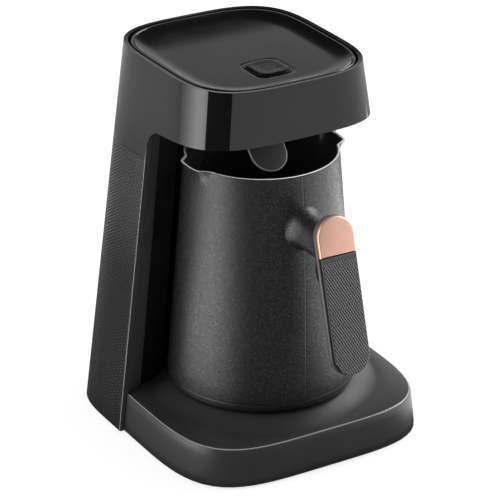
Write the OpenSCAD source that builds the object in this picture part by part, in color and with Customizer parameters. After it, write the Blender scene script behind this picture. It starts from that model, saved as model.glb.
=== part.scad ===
// Electric turkish coffee maker: a C-shaped machine with a lift-out cordless pot.
// Origin: on the table, under the middle of the overall box. +Z up, the front faces -Y.

/* [Body] */
// Width of the body at the table
body_w = 163.4; // [150:0.2:200]
// Width of the body at its top rim
body_top_w = 110.2; // [96:0.2:135]
// Height of the whole machine
body_h = 220; // [205:1:265]
// Overall depth, from the back of the body to the front of the grip
depth = 188.5; // [182:0.1:227]
// Depth of the body alone, measured at the table
body_d = 149.3; // [140:0.1:160]
// How far the front of the head leans back over the full height
front_lean = 19; // [10:0.5:26]
// How far the back leans forward over the full height
back_lean = 6.2; // [0:0.2:12]
// Corner size of the body seen from above
corner_r = 54; // [40:1:60]
// Squareness of those corners, 2 is a circle
corner_n = 3.36; // [2:0.02:5]
// Wall of the outer shell
shell_t = 2.4; // [1.8:0.1:3]
// Chamfer along the body's top rim and the base's top edge
edge = 0.8; // [0.2:0.1:1.2]

/* [Head] */
// Height of the head's lower front edge
head_z = 189.2; // [180:0.2:196]
// Fall of the head's underside towards the back, per mm
head_slope = 0.084; // [0:0.004:0.12]
// Radius where the head's underside turns down into the tower
notch_r = 12; // [6:1:18]
// Depth of the tower, from its front edge to the back
tower_d = 68.2; // [60:0.2:74]
// Groove between the shell's rim and the tray
groove_w = 1.2; // [0.6:0.1:2]
// Width of the tray's trim ring
ring_w = 1.6; // [1:0.1:2.4]
// Depth of the tray's floor below the rim
tray_deep = 3.2; // [2.4:0.1:8]
// Width of the tray's curved slope
tray_slope_w = 9; // [5:0.5:14]
// Thickness of the tray and of the head's underside
panel_t = 2; // [1.6:0.1:3]

/* [Button] */
// Width of the power button
button_w = 18.4; // [15:0.2:24]
// Depth of the power button
button_d = 20; // [16:0.2:25]
// Distance from the body's back to the button's centre
button_setback = 95.4; // [85:0.1:100]
// Travel of the power button
button_travel = 0.8; // [0.5:0.1:1.5]
// Height of the button's top above the tray's floor
button_rise = 1.8; // [1.5:0.1:3]

/* [Base] */
// Height of the base's top
base_h = 23.6; // [20:0.2:30]
// Depth of the base, from the body's back to its front edge
base_d = 161.1; // [150:0.1:170]
// Spread of the base's front wall towards the table
base_flare = 1.3; // [0:0.1:4]
// Squareness of the base's front corners
base_n = 4.2; // [3:0.1:6]
// Wall of the base
base_t = 2.4; // [1.8:0.1:3.2]
// Height of the rubber feet below the base's walls
foot_h = 1.2; // [0.8:0.1:2]
// Radius of the rubber feet
foot_r = 7; // [5:0.5:9]

/* [Pot] */
// Distance from the body's back to the pot's axis
pot_setback = 89.7; // [86:0.1:92]
// Widest radius of the pot, near its foot
pot_r = 54.1; // [44:0.1:55]
// Radius of the pot at its rim
rim_r = 43.5; // [36:0.1:45]
// Height of the pot
pot_h = 137.3; // [112:0.1:141]
// Height of the pot's underside above the base
seat_h = 6.4; // [5:0.1:8]
// Wall of the pot
pot_t = 1.5; // [1:0.1:2]
// How far each pouring lip stands out
lip_out = 5.6; // [4:0.2:8]
// Height over which a lip bends outwards
lip_h = 9; // [7:0.5:14]
// Height of the concealed heater space under the pot's floor
heater_h = 16.2; // [15:0.1:20]

/* [Handle] */
// Width of the grip
grip_w = 22.2; // [18:0.2:27]
// Length of the handle, cap included
handle_l = 87.8; // [73:0.1:100]
// Length of the cap
cap_l = 21; // [17:0.5:26]
// Lean of the handle, degrees from upright
handle_lean = 15.9; // [8:0.1:18]
// How far the handle's top lies below the pot's rim
handle_drop = 12.2; // [8:0.1:20]
// How far the neck's middle lies below the handle's top
neck_drop = 19.4; // [15:0.1:26]
// Thickness of the grip pad and of the cap
pad_t = 2.6; // [2:0.1:4]
// Thickness of the handle's frame
frame_t = 4; // [3:0.1:6]
// Radius of the handle's neck
neck_r = 9.2; // [7:0.1:10]
// Flare of the boss where it meets the pot
boss_flare = 4.2; // [4:0.1:8]

/* [Fits] */
// Gap between parts that are fixed together
gap = 0.3; // [0.2:0.05:0.5]
// Gap round a part that slides
slide_gap = 0.4; // [0.3:0.05:0.6]
// Radius of the small screws
screw_r = 1.5; // [1.25:0.05:2]

/* [Hidden] */

$fn = 64;
corner_steps = 12;               // points on each rounded corner
eps = 0.01;
far = 400;                       // longer than anything here

body_back = depth/2;             // back of the body at the table
grip_front = -depth/2;           // foremost point of the grip
body_front = body_back - body_d;
tower_y = body_back - tower_d;   // front edge of the tower
pot_y = body_back - pot_setback;
button_y = body_back - button_setback;

// Outline of the body at height z
function half_w(z) = body_w/2 - (body_w - body_top_w)/2*z/body_h;
function front_y(z) = body_front + front_lean*z/body_h;
function back_y(z) = body_back - back_lean*z/body_h;

// Height of the head's underside at depth y
function under_z(y) = head_z - head_slope*(y - front_y(head_z));

// A quarter of a superellipse, turned by a degrees
function quarter(cx, cy, rx, ry, a, n) = [for (i = [0:corner_steps])
    let (t = 90*i/corner_steps, c = pow(cos(t), 2/n), s = pow(sin(t), 2/n))
    a == 0 ? [cx + rx*c, cy + ry*s] : a == 90 ? [cx - rx*s, cy + ry*c] :
    a == 180 ? [cx - rx*c, cy - ry*s] : [cx + rx*s, cy - ry*c]];

// A rounded outline from its half width, its front and back, and its corners
function outline(hw, yf, yb, rx, rf, rb, nf, nb) = concat(
    quarter(hw - rx, yb - rb, rx, rb, 0, nb), quarter(rx - hw, yb - rb, rx, rb, 90, nb),
    quarter(rx - hw, yf + rf, rx, rf, 180, nf), quarter(hw - rx, yf + rf, rx, rf, 270, nf));

// The body's outline at height z, drawn in by inset
function body_outline(z, inset) =
    let (hw = half_w(z) - inset, yf = front_y(z) + inset, yb = back_y(z) - inset,
        r = min(corner_r - inset, hw - 1, (yb - yf)/2 - 1))
    outline(hw, yf, yb, r, r, r, corner_n, corner_n);

// A smooth skin through a list of levels, each [height, points]; a point may bring its own height
module loft(levels) {
    n = len(levels[0][1]);
    m = len(levels);
    polyhedron(
        points = [for (l = levels) for (p = l[1]) [p.x, p.y, len(p) > 2 ? p[2] : l[0]]],
        faces = concat([[for (i = [0:n - 1]) i]],
            [for (k = [0:m - 2]) for (i = [0:n - 1]) let (j = (i + 1)%n, a = k*n, b = a + n)
                each [[a + i, b + i, b + j], [a + i, b + j, a + j]]],
            [[for (i = [n - 1:-1:0]) (m - 1)*n + i]]));
}

// A smooth wall through a list of levels, each [height, outer points, inner points]
module wall(levels) {
    n = len(levels[0][1]);
    m = len(levels);
    polyhedron(
        points = [for (l = levels) for (k = [1, 2]) for (p = l[k]) [p.x, p.y, l[0]]],
        faces = [for (i = [0:n - 1]) let (j = (i + 1)%n, t = 2*n*(m - 1)) each concat(
            [[i, j, n + j, n + i], [t + j, t + i, t + n + i, t + n + j]],
            [for (k = [0:m - 2]) let (a = 2*n*k, b = a + 2*n) each [[a + i, b + i, b + j],
                [a + i, b + j, a + j], [a + n + j, b + n + j, b + n + i], [a + n + j, b + n + i, a + n + i]]])]);
}

// The body's tapered block between two heights, drawn in by inset
module body_block(z0, z1, inset) {
    loft([for (z = [z0, z1]) [z, body_outline(z, inset)]]);
}

// An outline drawn in depth (first) and height (second), as wide as w
module side_profile(w) {
    rotate([90, 0, 90]) linear_extrude(w, center = true) children();
}

// Everything above the head's underside, raised by lift
module above_underside(lift) {
    side_profile(far) polygon([[-far, under_z(-far) + lift], [far, under_z(far) + lift],
        [far, far], [-far, far]]);
}

// A squircle for the button and what surrounds it, grown by g
module squircle(g) {
    n = 4;
    polygon([for (i = [0:95]) let (t = 360*i/96, c = cos(t), s = sin(t))
        [(button_w/2 + g)*sign(c)*pow(abs(c), 2/n), (button_d/2 + g)*sign(s)*pow(abs(s), 2/n)]]);
}

// A tube of radius r with 8 sides along the points of path
module wire(path, r) {
    sides = 8;
    n = len(path);
    function along(i) = let (d = path[min(i + 1, n - 1)] - path[max(i - 1, 0)]) d/norm(d);
    function across(i) = let (d = cross(along(i), [1, 0.02, 0])) d/norm(d);
    points = [for (i = [0:n - 1]) let (u = across(i), v = cross(along(i), u))
        for (k = [0:sides - 1]) path[i] + r*(cos(360*k/sides)*u + sin(360*k/sides)*v)];
    polyhedron(points = points, faces = concat([[for (k = [0:sides - 1]) k]],
        [for (i = [0:n - 2]) for (k = [0:sides - 1]) let (j = (k + 1)%sides, a = i*sides)
            each [[a + k, a + sides + k, a + sides + j], [a + k, a + sides + j, a + j]]],
        [[for (k = [sides - 1:-1:0]) (n - 1)*sides + k]]));
}

// ---- Outer shell ----

// Depth and height outline of the open bay between base and head
module bay_profile() {
    slope_a = atan(head_slope);
    cy = tower_y - notch_r;
    cz = under_z(cy) - notch_r/cos(slope_a);
    arc = [for (i = [0:8]) let (a = (90 - slope_a)*i/8) [cy + notch_r*cos(a), cz + notch_r*sin(a)]];
    polygon(concat([[-far, -far], [tower_y, -far]], arc, [[-far, under_z(-far)]]));
}

gland_r = 7;
gland_z = 14;
gland_x = 34;

module gland_bore(r) {
    translate([gland_x, body_back - 30, gland_z]) rotate([-90, 0, 0]) cylinder(r = r, h = 60);
}

module outer_shell() color("#232325") difference() {
    loft([[foot_h, body_outline(foot_h, 0)], [body_h - edge, body_outline(body_h - edge, 0)],
        [body_h, body_outline(body_h, edge)]]);
    body_block(foot_h - 1, body_h + 1, shell_t);
    side_profile(far) bay_profile();
    gland_bore(gland_r);
}

// ---- Tray and its trim ----

tray_inset = shell_t + groove_w + ring_w;
tray_floor_z = body_h - tray_deep;
ring_top = body_h - 0.4;
tray_low = tray_floor_z - panel_t;

// The tray's rounded hollow: steep at the rim, flat at the floor
module tray_hollow() {
    levels = 6;
    loft(concat([for (i = [levels:-1:0]) let (a = 90*i/levels, z = tray_floor_z + tray_deep*(1 - sin(a)))
            [z, body_outline(z, tray_inset + 0.2 + tray_slope_w*(1 - cos(a)))]],
        [[body_h + 1, body_outline(body_h + 1, tray_inset + 0.2)]]));
}

module button_well(g, z0, z1) {
    translate([0, button_y, z0]) linear_extrude(z1 - z0) squircle(g);
}

board_z = tray_low - 9;              // underside of the control board
board_t = 1.6;
board_w = 62;
board_d = 46;
board_holes = [[-26, -16], [26, -16], [-26, 16], [26, 16]];
board_y = button_y + 2;

module top_tray() color("#3a3a3c") {
    difference() {
        union() {
            difference() {
                body_block(tray_low, body_h - 0.6, tray_inset);
                tray_hollow();
            }
            // flange that stands on the head's inside ledge
            difference() {
                body_block(tray_low, tray_low + 2, shell_t + gap);
                body_block(tray_low - 1, tray_low + 3, tray_inset + 1);
            }
            for (p = board_holes) translate([p.x, board_y + p.y, board_z + board_t])
                cylinder(r = 3.2, h = tray_low - board_z - board_t + eps);
        }
        button_well(slide_gap, tray_low - 1, body_h);
        for (p = board_holes) translate([p.x, board_y + p.y, board_z])
            cylinder(r = screw_r + 0.05, h = 8, $fn = 24);
    }
}

module tray_ring() color("#111113") wall([for (z = [tray_low + 2.1, ring_top])
    [z, body_outline(z, shell_t + groove_w), body_outline(z, tray_inset - 0.05)]]);

// ---- Button ----

button_top = tray_floor_z + button_rise;
switch_h = 3.5;
plunger_top = board_z + board_t + switch_h + 1;
dome_h = 5;

module button_surround() color("#2a2a2c") difference() {
    button_well(2.1, tray_floor_z + 0.02, tray_floor_z + 1);
    button_well(slide_gap, tray_floor_z - 1, tray_floor_z + 2);
}

module power_button() color("#4a4a4c") {
    button_well(0, tray_low - 0.6, button_top);
    // collar that keeps the button under the tray
    button_well(1.2, tray_low - 1.6, tray_low - 0.1);
    translate([0, button_y, plunger_top + 0.1])
        cylinder(r = 2.6, h = tray_low - 1.5 - plunger_top - 0.1);
    translate([0, button_y, board_z + board_t + dome_h + 0.1])
        cylinder(r = 5.4, h = tray_low - 1.5 - board_z - board_t - dome_h - 0.1);
}

module button_dome() color("#5a5a5a") translate([0, button_y, board_z + board_t + 0.05])
    rotate_extrude() polygon([[6.6, 0], [8, 0], [8, 0.8], [7.2, 1], [5.4, 4], [5.4, dome_h], [3.1, dome_h],
        [3.1, dome_h - 0.8], [4.6, dome_h - 1.2], [6.3, 1]]);

// ---- Electronics in the head ----

module board(w, d, t, holes, r) {
    difference() {
        translate([-w/2, -d/2, 0]) cube([w, d, t]);
        for (p = holes) translate([p.x, p.y, -1]) cylinder(r = r, h = t + 2, $fn = 24);
    }
}

module control_board() color("#1f5a35") translate([0, board_y, board_z])
    board(board_w, board_d, board_t, board_holes, screw_r + 0.1);

module board_screws() color("silver") for (p = board_holes) translate([p.x, board_y + p.y, board_z]) {
    translate([0, 0, -1.6]) cylinder(r = 2.8, h = 1.6);
    translate([0, 0, -eps]) cylinder(r = screw_r, h = 7, $fn = 24);
}

module tact_switch() color("#777777") translate([0, button_y, board_z + board_t]) difference() {
    translate([-3, -3, 0]) cube([6, 6, switch_h]);
    translate([0, 0, switch_h - 1.8]) cylinder(r = 1.75, h = 3, $fn = 24);
}

module switch_plunger() color("#222222")
    translate([0, button_y, plunger_top - 1.7]) cylinder(r = 1.7, h = 1.7, $fn = 24);

module status_leds() color("white") for (s = [-1, 1])
    translate([s*9.6 - 0.8, button_y - 1, board_z + board_t]) cube([1.6, 2, 0.9]);

module buzzer() color("#111111") translate([-18, button_y - 5, board_z + board_t]) difference() {
    cylinder(r = 6, h = 5);
    translate([0, 0, 2]) cylinder(r = 1, h = 4, $fn = 24);
}

// ---- Underside of the head ----

under_lift = 0.8;                // the panel sits a little inside the shell's edge
under_back = pot_y + 59.6;       // how far back the panel runs over the bay
tongue_w = 22.6;
tongue_t = 1.4;
tongue_tilt = 46;                // degrees from level
tongue_tip_y = pot_y - 14.2;
tongue_dip = 8.6;                // how far the tongue's tip hangs below the pot's rim
tongue_tip_z = base_h + seat_h + pot_h - tongue_dip;
tongue_l = (under_z(tongue_tip_y) + 8 - tongue_tip_z)/sin(tongue_tilt);
lens_y = pot_y - 24.6;

module underside_band(z0, z1, y1) {
    side_profile(far) polygon([[-far, under_z(-far) + z0], [y1, under_z(y1) + z0],
        [y1, under_z(y1) + z1], [-far, under_z(-far) + z1]]);
}

// Slanted frame of the tongue: its tip at the origin, running up and back
module tongue_frame() {
    translate([0, tongue_tip_y, tongue_tip_z]) rotate([tongue_tilt, 0, 0]) children();
}

module sensor_post(x, h) {
    translate([x, lens_y, under_z(lens_y) + under_lift + panel_t - 0.3]) cylinder(r = 3, h = h);
}

module head_underside() color("#1b1b1c") {
    difference() {
        union() {
            intersection() {
                body_block(under_z(under_back) - 10, head_z + 20, shell_t + gap);
                underside_band(under_lift, under_lift + panel_t, under_back);
            }
            for (s = [-1, 1]) sensor_post(s*11, 4);
        }
        translate([0, lens_y, head_z - 20]) cylinder(r = 4.6, h = 40, $fn = 32);
        tongue_frame() translate([-tongue_w/2 - gap, 10, -gap])
            cube([tongue_w + 2*gap, tongue_l + 30, tongue_t + 2*gap]);
    }
}

module sensor_tongue() color("#6a6a6c") difference() {
    tongue_frame() linear_extrude(tongue_t) {
        translate([0, tongue_w/2]) circle(d = tongue_w);
        translate([-tongue_w/2, tongue_w/2]) square([tongue_w, tongue_l - tongue_w/2]);
    }
    above_underside(under_lift + panel_t + 3);
}

module sensor_lens() color("#301818") translate([0, lens_y, under_z(lens_y) + under_lift - 0.5]) {
    cylinder(r = 4.5, h = 4);
    translate([0, 0, panel_t + 1.1]) cylinder(r = 5.6, h = 1);
}

module sensor_board() color("#1f5a35")
    translate([0, lens_y, under_z(lens_y) + under_lift + panel_t - 0.3 + 4]) board(32, 14, 1.2, [], 1);

// ---- Front of the tower: two wings and the dark liner round the pot ----

wing_w = 15.2;                   // width of a wing at the base
wing_w_top = 12.2;               // and under the head
wing_d = 7;                      // how far a wing falls back towards the pot
wing_t = 2.2;
liner_t = 2;
liner_gap = 4;                   // between the pot's widest ring and the liner
liner_a = 33;                    // degrees from the side where the round part starts
pot_taper = (pot_r - rim_r)/(pot_h - 5);
bay_top = head_z - 4;

function wing_inner(z) = half_w(z) - wing_w + (wing_w - wing_w_top)*(z - base_h)/(head_z - base_h);
function liner_r(z) = pot_r + liner_gap - pot_taper*(z - base_h);

function wing_outline(z) = let (a = half_w(z) - shell_t - gap, b = wing_inner(z), y0 = tower_y + 0.8,
    y1 = tower_y + wing_d) [[b, y1], [a, y0], [a, y0 + wing_t], [b, y1 + wing_t]];

function liner_curve(z, grow) = let (r = liner_r(z) + grow, x = wing_inner(z) - 0.2,
    y = tower_y + wing_d + 0.1 + grow)
    concat([[x, y]], [for (i = [0:20]) let (a = liner_a + (180 - 2*liner_a)*i/20)
        [r*cos(a), pot_y + r*sin(a)]], [[-x, y]]);

function reversed(l) = [for (i = [len(l) - 1:-1:0]) l[i]];

// Points of an outline lifted to just below the head's underside
function at_underside(l) = [for (p = l) [p.x, p.y, under_z(p.y) + under_lift - 0.05]];

module right_wing() color("#3c3c3e")
    loft([[base_h + 0.05, wing_outline(base_h + 0.05)], [0, at_underside(wing_outline(bay_top))]]);

module left_wing() color("#3c3c3e") mirror([1, 0, 0]) right_wing();

function liner_outline(z) = concat(reversed(liner_curve(z, 0)), liner_curve(z, liner_t));

module bay_liner() color("#0c0c0d")
    loft(concat([for (i = [0:7]) let (z = base_h + 0.05 + (bay_top - base_h - 0.05)*i/8) [z, liner_outline(z)]],
        [[0, at_underside(liner_outline(bay_top))]]));

// ---- Inside the tower ----

chassis_t = 2;
chassis_y = pot_y + liner_r(base_h) + liner_t + 0.9;
chassis_top = head_z - 14;
chassis_w0 = 88;
chassis_w1 = 62;
power_w = 62;
power_h = 96;
power_z = 46;
power_y = chassis_y + chassis_t + 2;      // front of the power board
power_t = 1.6;
power_holes = [[-27, 6], [27, 6], [-27, 90], [27, 90]];
parts_y = power_y + power_t;              // back of the board, where its parts stand

// Turns shapes drawn flat so that they stand upright and face the back
module upright(y, z) {
    translate([0, y, z]) rotate([90, 0, 180]) mirror([0, 0, 1]) mirror([1, 0, 0]) children();
}

module tower_chassis() color("#505052") {
    difference() {
        union() {
            translate([0, chassis_y + chassis_t, 0]) rotate([90, 0, 0]) linear_extrude(chassis_t)
                polygon([[-chassis_w0/2, base_h + 0.05], [chassis_w0/2, base_h + 0.05],
                    [chassis_w1/2, chassis_top], [-chassis_w1/2, chassis_top]]);
            // foot that stands on the base
            translate([-chassis_w0/2, chassis_y, base_h + 0.05]) cube([chassis_w0, 14, 3]);
            // ribs that back the liner
            for (s = [-1, 1]) translate([s*12, 0, 0]) side_profile(2.4)
                polygon([[chassis_y + eps, base_h + 3], [chassis_y + eps, chassis_top],
                    [liner_back(chassis_top), chassis_top], [liner_back(base_h + 3), base_h + 3]]);
        }
        for (p = power_holes) translate([p.x, chassis_y - 1, power_z + p.y]) rotate([-90, 0, 0])
            cylinder(r = screw_r, h = 6, $fn = 24);
        for (s = [-1, 1]) translate([s*30, chassis_y + 9, base_h - 1]) cylinder(r = screw_r + 0.2, h = 8, $fn = 24);
        translate([wires_x, wires_y, base_h - 1]) cylinder(r = 4, h = 8, $fn = 32);
    }
}

// Depth of the liner's back face just beside the middle, with its gap
function liner_back(z) = pot_y + liner_r(z) + liner_t + 0.1;

module power_board() color("#2a6a3c") translate([0, power_y, power_z]) difference() {
    translate([-power_w/2, 0, 0]) cube([power_w, power_t, power_h]);
    for (p = power_holes) translate([p.x, -1, p.y]) rotate([-90, 0, 0])
        cylinder(r = screw_r + 0.2, h = 5, $fn = 24);
}

module board_standoffs() color("silver") for (p = power_holes)
    translate([p.x, 0, power_z + p.y]) rotate([-90, 0, 0]) {
        translate([0, 0, chassis_y - 1.2]) cylinder(r = screw_r - 0.05, h = parts_y - chassis_y + 2.4, $fn = 24);
        translate([0, 0, chassis_y + chassis_t + 0.02]) cylinder(r = 3, h = 1.96);
        translate([0, 0, parts_y + 0.02]) cylinder(r = 2.6, h = 1.6);
    }

module transformer() color("#c8a030") translate([-27, parts_y, power_z + 50]) {
    cube([22, 11, 20]);
    translate([3, 1, -2]) cube([16, 9, 24]);
}

module relay() color("#2050a0") translate([2, parts_y, power_z + 54]) cube([20, 11, 15]);

module capacitor() color("#303060") translate([-14, parts_y + 5.6, power_z + 34]) rotate([0, 90, 0])
    cylinder(r = 5.5, h = 18);

module heat_sink() color("#b0b0b4") translate([6, parts_y, power_z + 26]) {
    cube([20, 1.6, 22]);
    for (i = [0:4]) translate([4.6*i, 1.5, 0]) cube([1.6, 8.5, 22]);
}

module terminal_block() color("#205020") translate([4, parts_y, power_z + 8]) difference() {
    cube([18, 10, 12]);
    for (i = [0:2]) translate([3 + 6*i, 5, -1]) cylinder(r = 1.8, h = 8, $fn = 24);
}

// Points along a smooth curve that starts at a, leaves towards b, comes in from c and ends at d
function curve(a, b, c, d) = [for (i = [0:12]) let (t = i/12, u = 1 - t)
    u*u*u*a + 3*u*u*t*b + 3*u*t*t*c + t*t*t*d];

harness_from = [17, parts_y + 3.2, power_z + 89];
harness_to = [6, board_y + 15, board_z - 2];

module head_harness() color("#303030") {
    wire(curve(harness_from, [17, parts_y + 8, board_z - 4], [8, parts_y - 8, board_z - 6], harness_to), 1.6);
    translate([13, parts_y + 0.05, power_z + 84]) cube([8, 6.2, 6]);
    translate([1, board_y + 12, board_z - 4.05]) cube([10, 6, 4]);
}

wires_x = -18;
wires_y = chassis_y + 9;          // the wires go down into the base here

module coupler_wires() color("#803020") {
    wire(concat([[wires_x, parts_y + 3, power_z + 8], [wires_x, wires_y + 0.5, power_z]],
        curve([wires_x, wires_y, power_z - 12], [wires_x, wires_y, 2], [-3, wires_y - 10, 12],
            [-3, pot_y + socket_r + 0.3, 12])), 1.8);
    translate([wires_x - 5, parts_y + 0.05, power_z + 5]) cube([10, 6, 6]);
}

module chassis_screws() color("silver") for (s = [-1, 1])
    translate([s*30, chassis_y + 9, base_h + 3.07]) {
        cylinder(r = 3.2, h = 1.8);
        translate([0, 0, -8]) cylinder(r = screw_r, h = 8 + eps, $fn = 24);
    }

module cord_gland() color("#151515") difference() {
    intersection() {
        union() {
            gland_bore(gland_r - 0.1);
            translate([gland_x, back_y(gland_z) - shell_t - 3.7, gland_z]) rotate([-90, 0, 0])
                cylinder(r = gland_r + 1.5, h = 3);
        }
        translate([0, back_y(gland_z) - 8.2, gland_z]) cube([far, 16.4, 40], center = true);
        body_block(0, 40, 0);
    }
    gland_bore(3.6);
}

// ---- Base ----

function base_half_w(z) = half_w(z) - shell_t - gap;
function base_front(z) = body_back - base_d - base_flare*(base_h - z)/base_h;

// The base's outline at height z, drawn in by inset
function base_outline(z, inset) =
    let (hw = base_half_w(z) - inset, yf = base_front(z) + inset, yb = back_y(z) - shell_t - gap - inset,
        rb = min(corner_r - shell_t - inset, hw - 1), rf = tower_y - 6 - yf)
    concat(quarter(hw - rb, yb - rb, rb, rb, 0, corner_n), quarter(rb - hw, yb - rb, rb, rb, 90, corner_n),
        quarter(0, yf + rf, hw, rf, 180, base_n), quarter(0, yf + rf, hw, rf, 270, base_n));

module base_block(z0, z1, inset) {
    loft([for (z = [z0, z1]) [z, base_outline(z, inset)]]);
}

seat_r = pot_r - 10;
seat_edge = pot_r - 2.6;         // where the raised seat starts to slope down to the base's top
seat_run = 10;                   // how far it slopes
socket_r = 24;
base_corners = [[-50, base_front(0) + 27], [50, base_front(0) + 27], [-54, body_back - 40], [54, body_back - 40]];
cover_z = foot_h + 0.4;
cover_t = 2;

module base_body() color("#4a4a4c") difference() {
    union() {
        difference() {
            loft([[foot_h, base_outline(foot_h, 0)], [base_h - edge, base_outline(base_h - edge, 0)],
                [base_h, base_outline(base_h, edge)]]);
            base_block(foot_h - 1, base_h - base_t, base_t);
        }
        for (p = base_corners) translate([p.x, p.y, cover_z + cover_t + 0.05])
            cylinder(r = 4, h = base_h - cover_z - cover_t - 1);
        seat_rise();
    }
    translate([0, pot_y, 0]) cylinder(r = socket_r + gap, h = base_h + 5);
    for (p = base_corners) translate([p.x, p.y, 0]) cylinder(r = screw_r + 0.05, h = 14, $fn = 24);
    translate([wires_x, wires_y, 10]) cylinder(r = 4.5, h = 30, $fn = 32);
    for (s = [-1, 1]) translate([s*30, chassis_y + 9, 10]) cylinder(r = screw_r + 0.05, h = 30, $fn = 24);
    gland_notch();
}

// Raised seat round the coupler, sloping down to the base's top; behind, the liner stops it
module seat_rise() difference() {
    translate([0, pot_y, 0]) rotate_extrude() polygon(concat(
        [[seat_r + gap, base_h - 1], [seat_r + gap, seat_top - 0.1]],
        [for (i = [0:8]) let (t = i/8) [seat_edge + seat_run*t,
            base_h + (seat_top - 0.1 - base_h)*(1 - t*t*(3 - 2*t))]], [[seat_edge + seat_run, base_h - 1]]));
    difference() {
        translate([-far, tower_y - 0.2, 0]) cube([2*far, far, far]);
        translate([0, pot_y, 0]) cylinder(r = pot_r + liner_gap - 1.2, h = far);
    }
}

// Room in the base's back wall for the gland
module gland_notch() {
    translate([gland_x, body_back - 40, gland_z]) rotate([-90, 0, 0]) cylinder(r = gland_r + 2, h = 60);
}

module bottom_cover() color("#2c2c2e") difference() {
    base_block(cover_z, cover_z + cover_t, base_t + gap);
    for (p = base_corners) translate([p.x, p.y, 0]) {
        cylinder(r = screw_r + 0.2, h = 10, $fn = 24);
        cylinder(r = 3.2, h = cover_z + 0.8);
    }
    translate([0, pot_y, 0]) for (i = [-3:3]) translate([i*9 - 2, -14, 0]) cube([4, 28, 10]);
}

module feet() color("#101010") for (sx = [-1, 1]) for (y = [base_front(0) + 44, body_back - 24])
    translate([sx*46, y, 0]) cylinder(r = foot_r, h = cover_z - 0.02);

module cover_screws() color("silver") for (p = base_corners) translate([p.x, p.y, cover_z - 0.4]) {
    cylinder(r = 2.9, h = 1.2 - 0.02);
    cylinder(r = screw_r, h = 11, $fn = 24);
}

// ---- Coupler between base and pot ----

seat_top = base_h + seat_h - gap;         // the pot stands here, with a hair's gap
post_r = 14;
post_top = seat_top + 2.1;
recess_r = pot_r - 16;                    // hollow under the pot that clears the post as it leaves
recess_h = 3;

module coupler_socket() color("#141415") difference() {
    union() {
        translate([0, pot_y, base_h + 0.02]) cylinder(r = seat_r, h = seat_top - base_h - 0.02);
        translate([0, pot_y, cover_z + cover_t + 3]) cylinder(r = socket_r, h = base_h - cover_z - cover_t - 2.9);
        translate([0, pot_y, seat_top - eps]) cylinder(r = post_r, h = post_top - seat_top);
    }
    for (r = pin_radii) translate([r, pot_y, 0]) cylinder(r = 1.6, h = 60, $fn = 24);
    translate([0, pot_y, 0]) cylinder(r = socket_r - 3, h = base_h - 4);
}

pin_radii = [0, 5, -10];

module coupler_pins() color("#c9a24a") for (r = pin_radii) translate([r, pot_y, base_h - 6])
    cylinder(r = 1.55, h = post_top + 0.2 - base_h + 6, $fn = 24);

// ---- Pot ----

pot_z = base_h + seat_h;
rim_z = pot_z + pot_h;
foot_z = pot_z + 5;                       // where the pot is widest
floor_z = pot_z + heater_h;

function wall_r(z) = pot_r - pot_taper*(z - foot_z);

module at_pot() {
    translate([0, pot_y, 0]) children();
}

lip_z = rim_z - lip_h;
lip_a = 18.5;                    // half angle of a lip, in degrees round the pot
lip_side = 8;                    // degrees over which its sides run out
lip_angles = concat([for (a = [-20:2:20]) a], [for (a = [26:6:154]) a], [for (a = [160:2:200]) a],
    [for (a = [206:6:334]) a]);

// How much of the lip's reach there is at an angle: 1 at its tip, 0 away from it
function lip_share(a) = let (d = min(abs(a), abs(a - 180)), t = min(1, max(0, (lip_a - d)/lip_side)))
    t*t*(3 - 2*t);

// The pot's round at height z with both lips, drawn in by inset
function lip_outline(z, inset) = let (up = pow(max(0, z - lip_z)/lip_h, 1.6))
    [for (a = lip_angles) let (r = wall_r(z) - inset + lip_out*up*lip_share(a)) [r*cos(a), r*sin(a)]];

// The top of the pot's wall, where the lips are; it reaches a little down into the wall below
module lips() {
    wall([for (i = [0:5]) let (z = i == 0 ? lip_z - 0.5 : rim_z - lip_h*(5 - i)/4 + (i == 1 ? 0.3 : 0))
        [z, lip_outline(z, 0.03), lip_outline(z, pot_t - 0.1)]]);
}

handle_z = rim_z - handle_drop;
neck_z = handle_z - neck_drop;
boss_l = 11;                     // from the pot's front to the handle's frame
pot_front = pot_y - wall_r(neck_z);

// Trumpet that carries the handle, with its mouth on the pot's front
module boss() {
    translate([0, pot_front, neck_z]) rotate([90, 0, 0]) rotate_extrude() polygon(concat(
        [[0, -4], [neck_r + boss_flare, -4]], [for (i = [8:-1:0]) let (a = 90*i/8)
            [neck_r + boss_flare*(1 - cos(a)), boss_l - 4 - (boss_l - 1.2)*sin(a)]],
        [[neck_r, boss_l], [0, boss_l]]));
}

module pot_body() color("#5b5b5d") difference() {
    union() {
        at_pot() {
            // wall, floor and the skirt below the floor
            rotate_extrude() polygon([[wall_r(foot_z), foot_z], [wall_r(lip_z), lip_z],
                [wall_r(lip_z) - pot_t, lip_z], [wall_r(floor_z + 3) - pot_t, floor_z + 3],
                [wall_r(floor_z) - pot_t - 3, floor_z], [0, floor_z], [0, floor_z - pot_t],
                [wall_r(floor_z) - pot_t, floor_z - pot_t], [wall_r(foot_z) - pot_t, foot_z]]);
            lips();
        }
        difference() {
            boss();
            at_pot() rotate_extrude() polygon([[0, foot_z], [wall_r(foot_z) - pot_t/2, foot_z],
                [wall_r(rim_z) - pot_t/2, rim_z], [0, rim_z]]);
        }
    }
    // blind hole for the handle's screw
    handle_bore(2.05, 1.5, boss_l + 5);
}

cup_top = foot_z - 0.8;
spigot_r = wall_r(foot_z + 6) - pot_t - 0.2;

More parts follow.
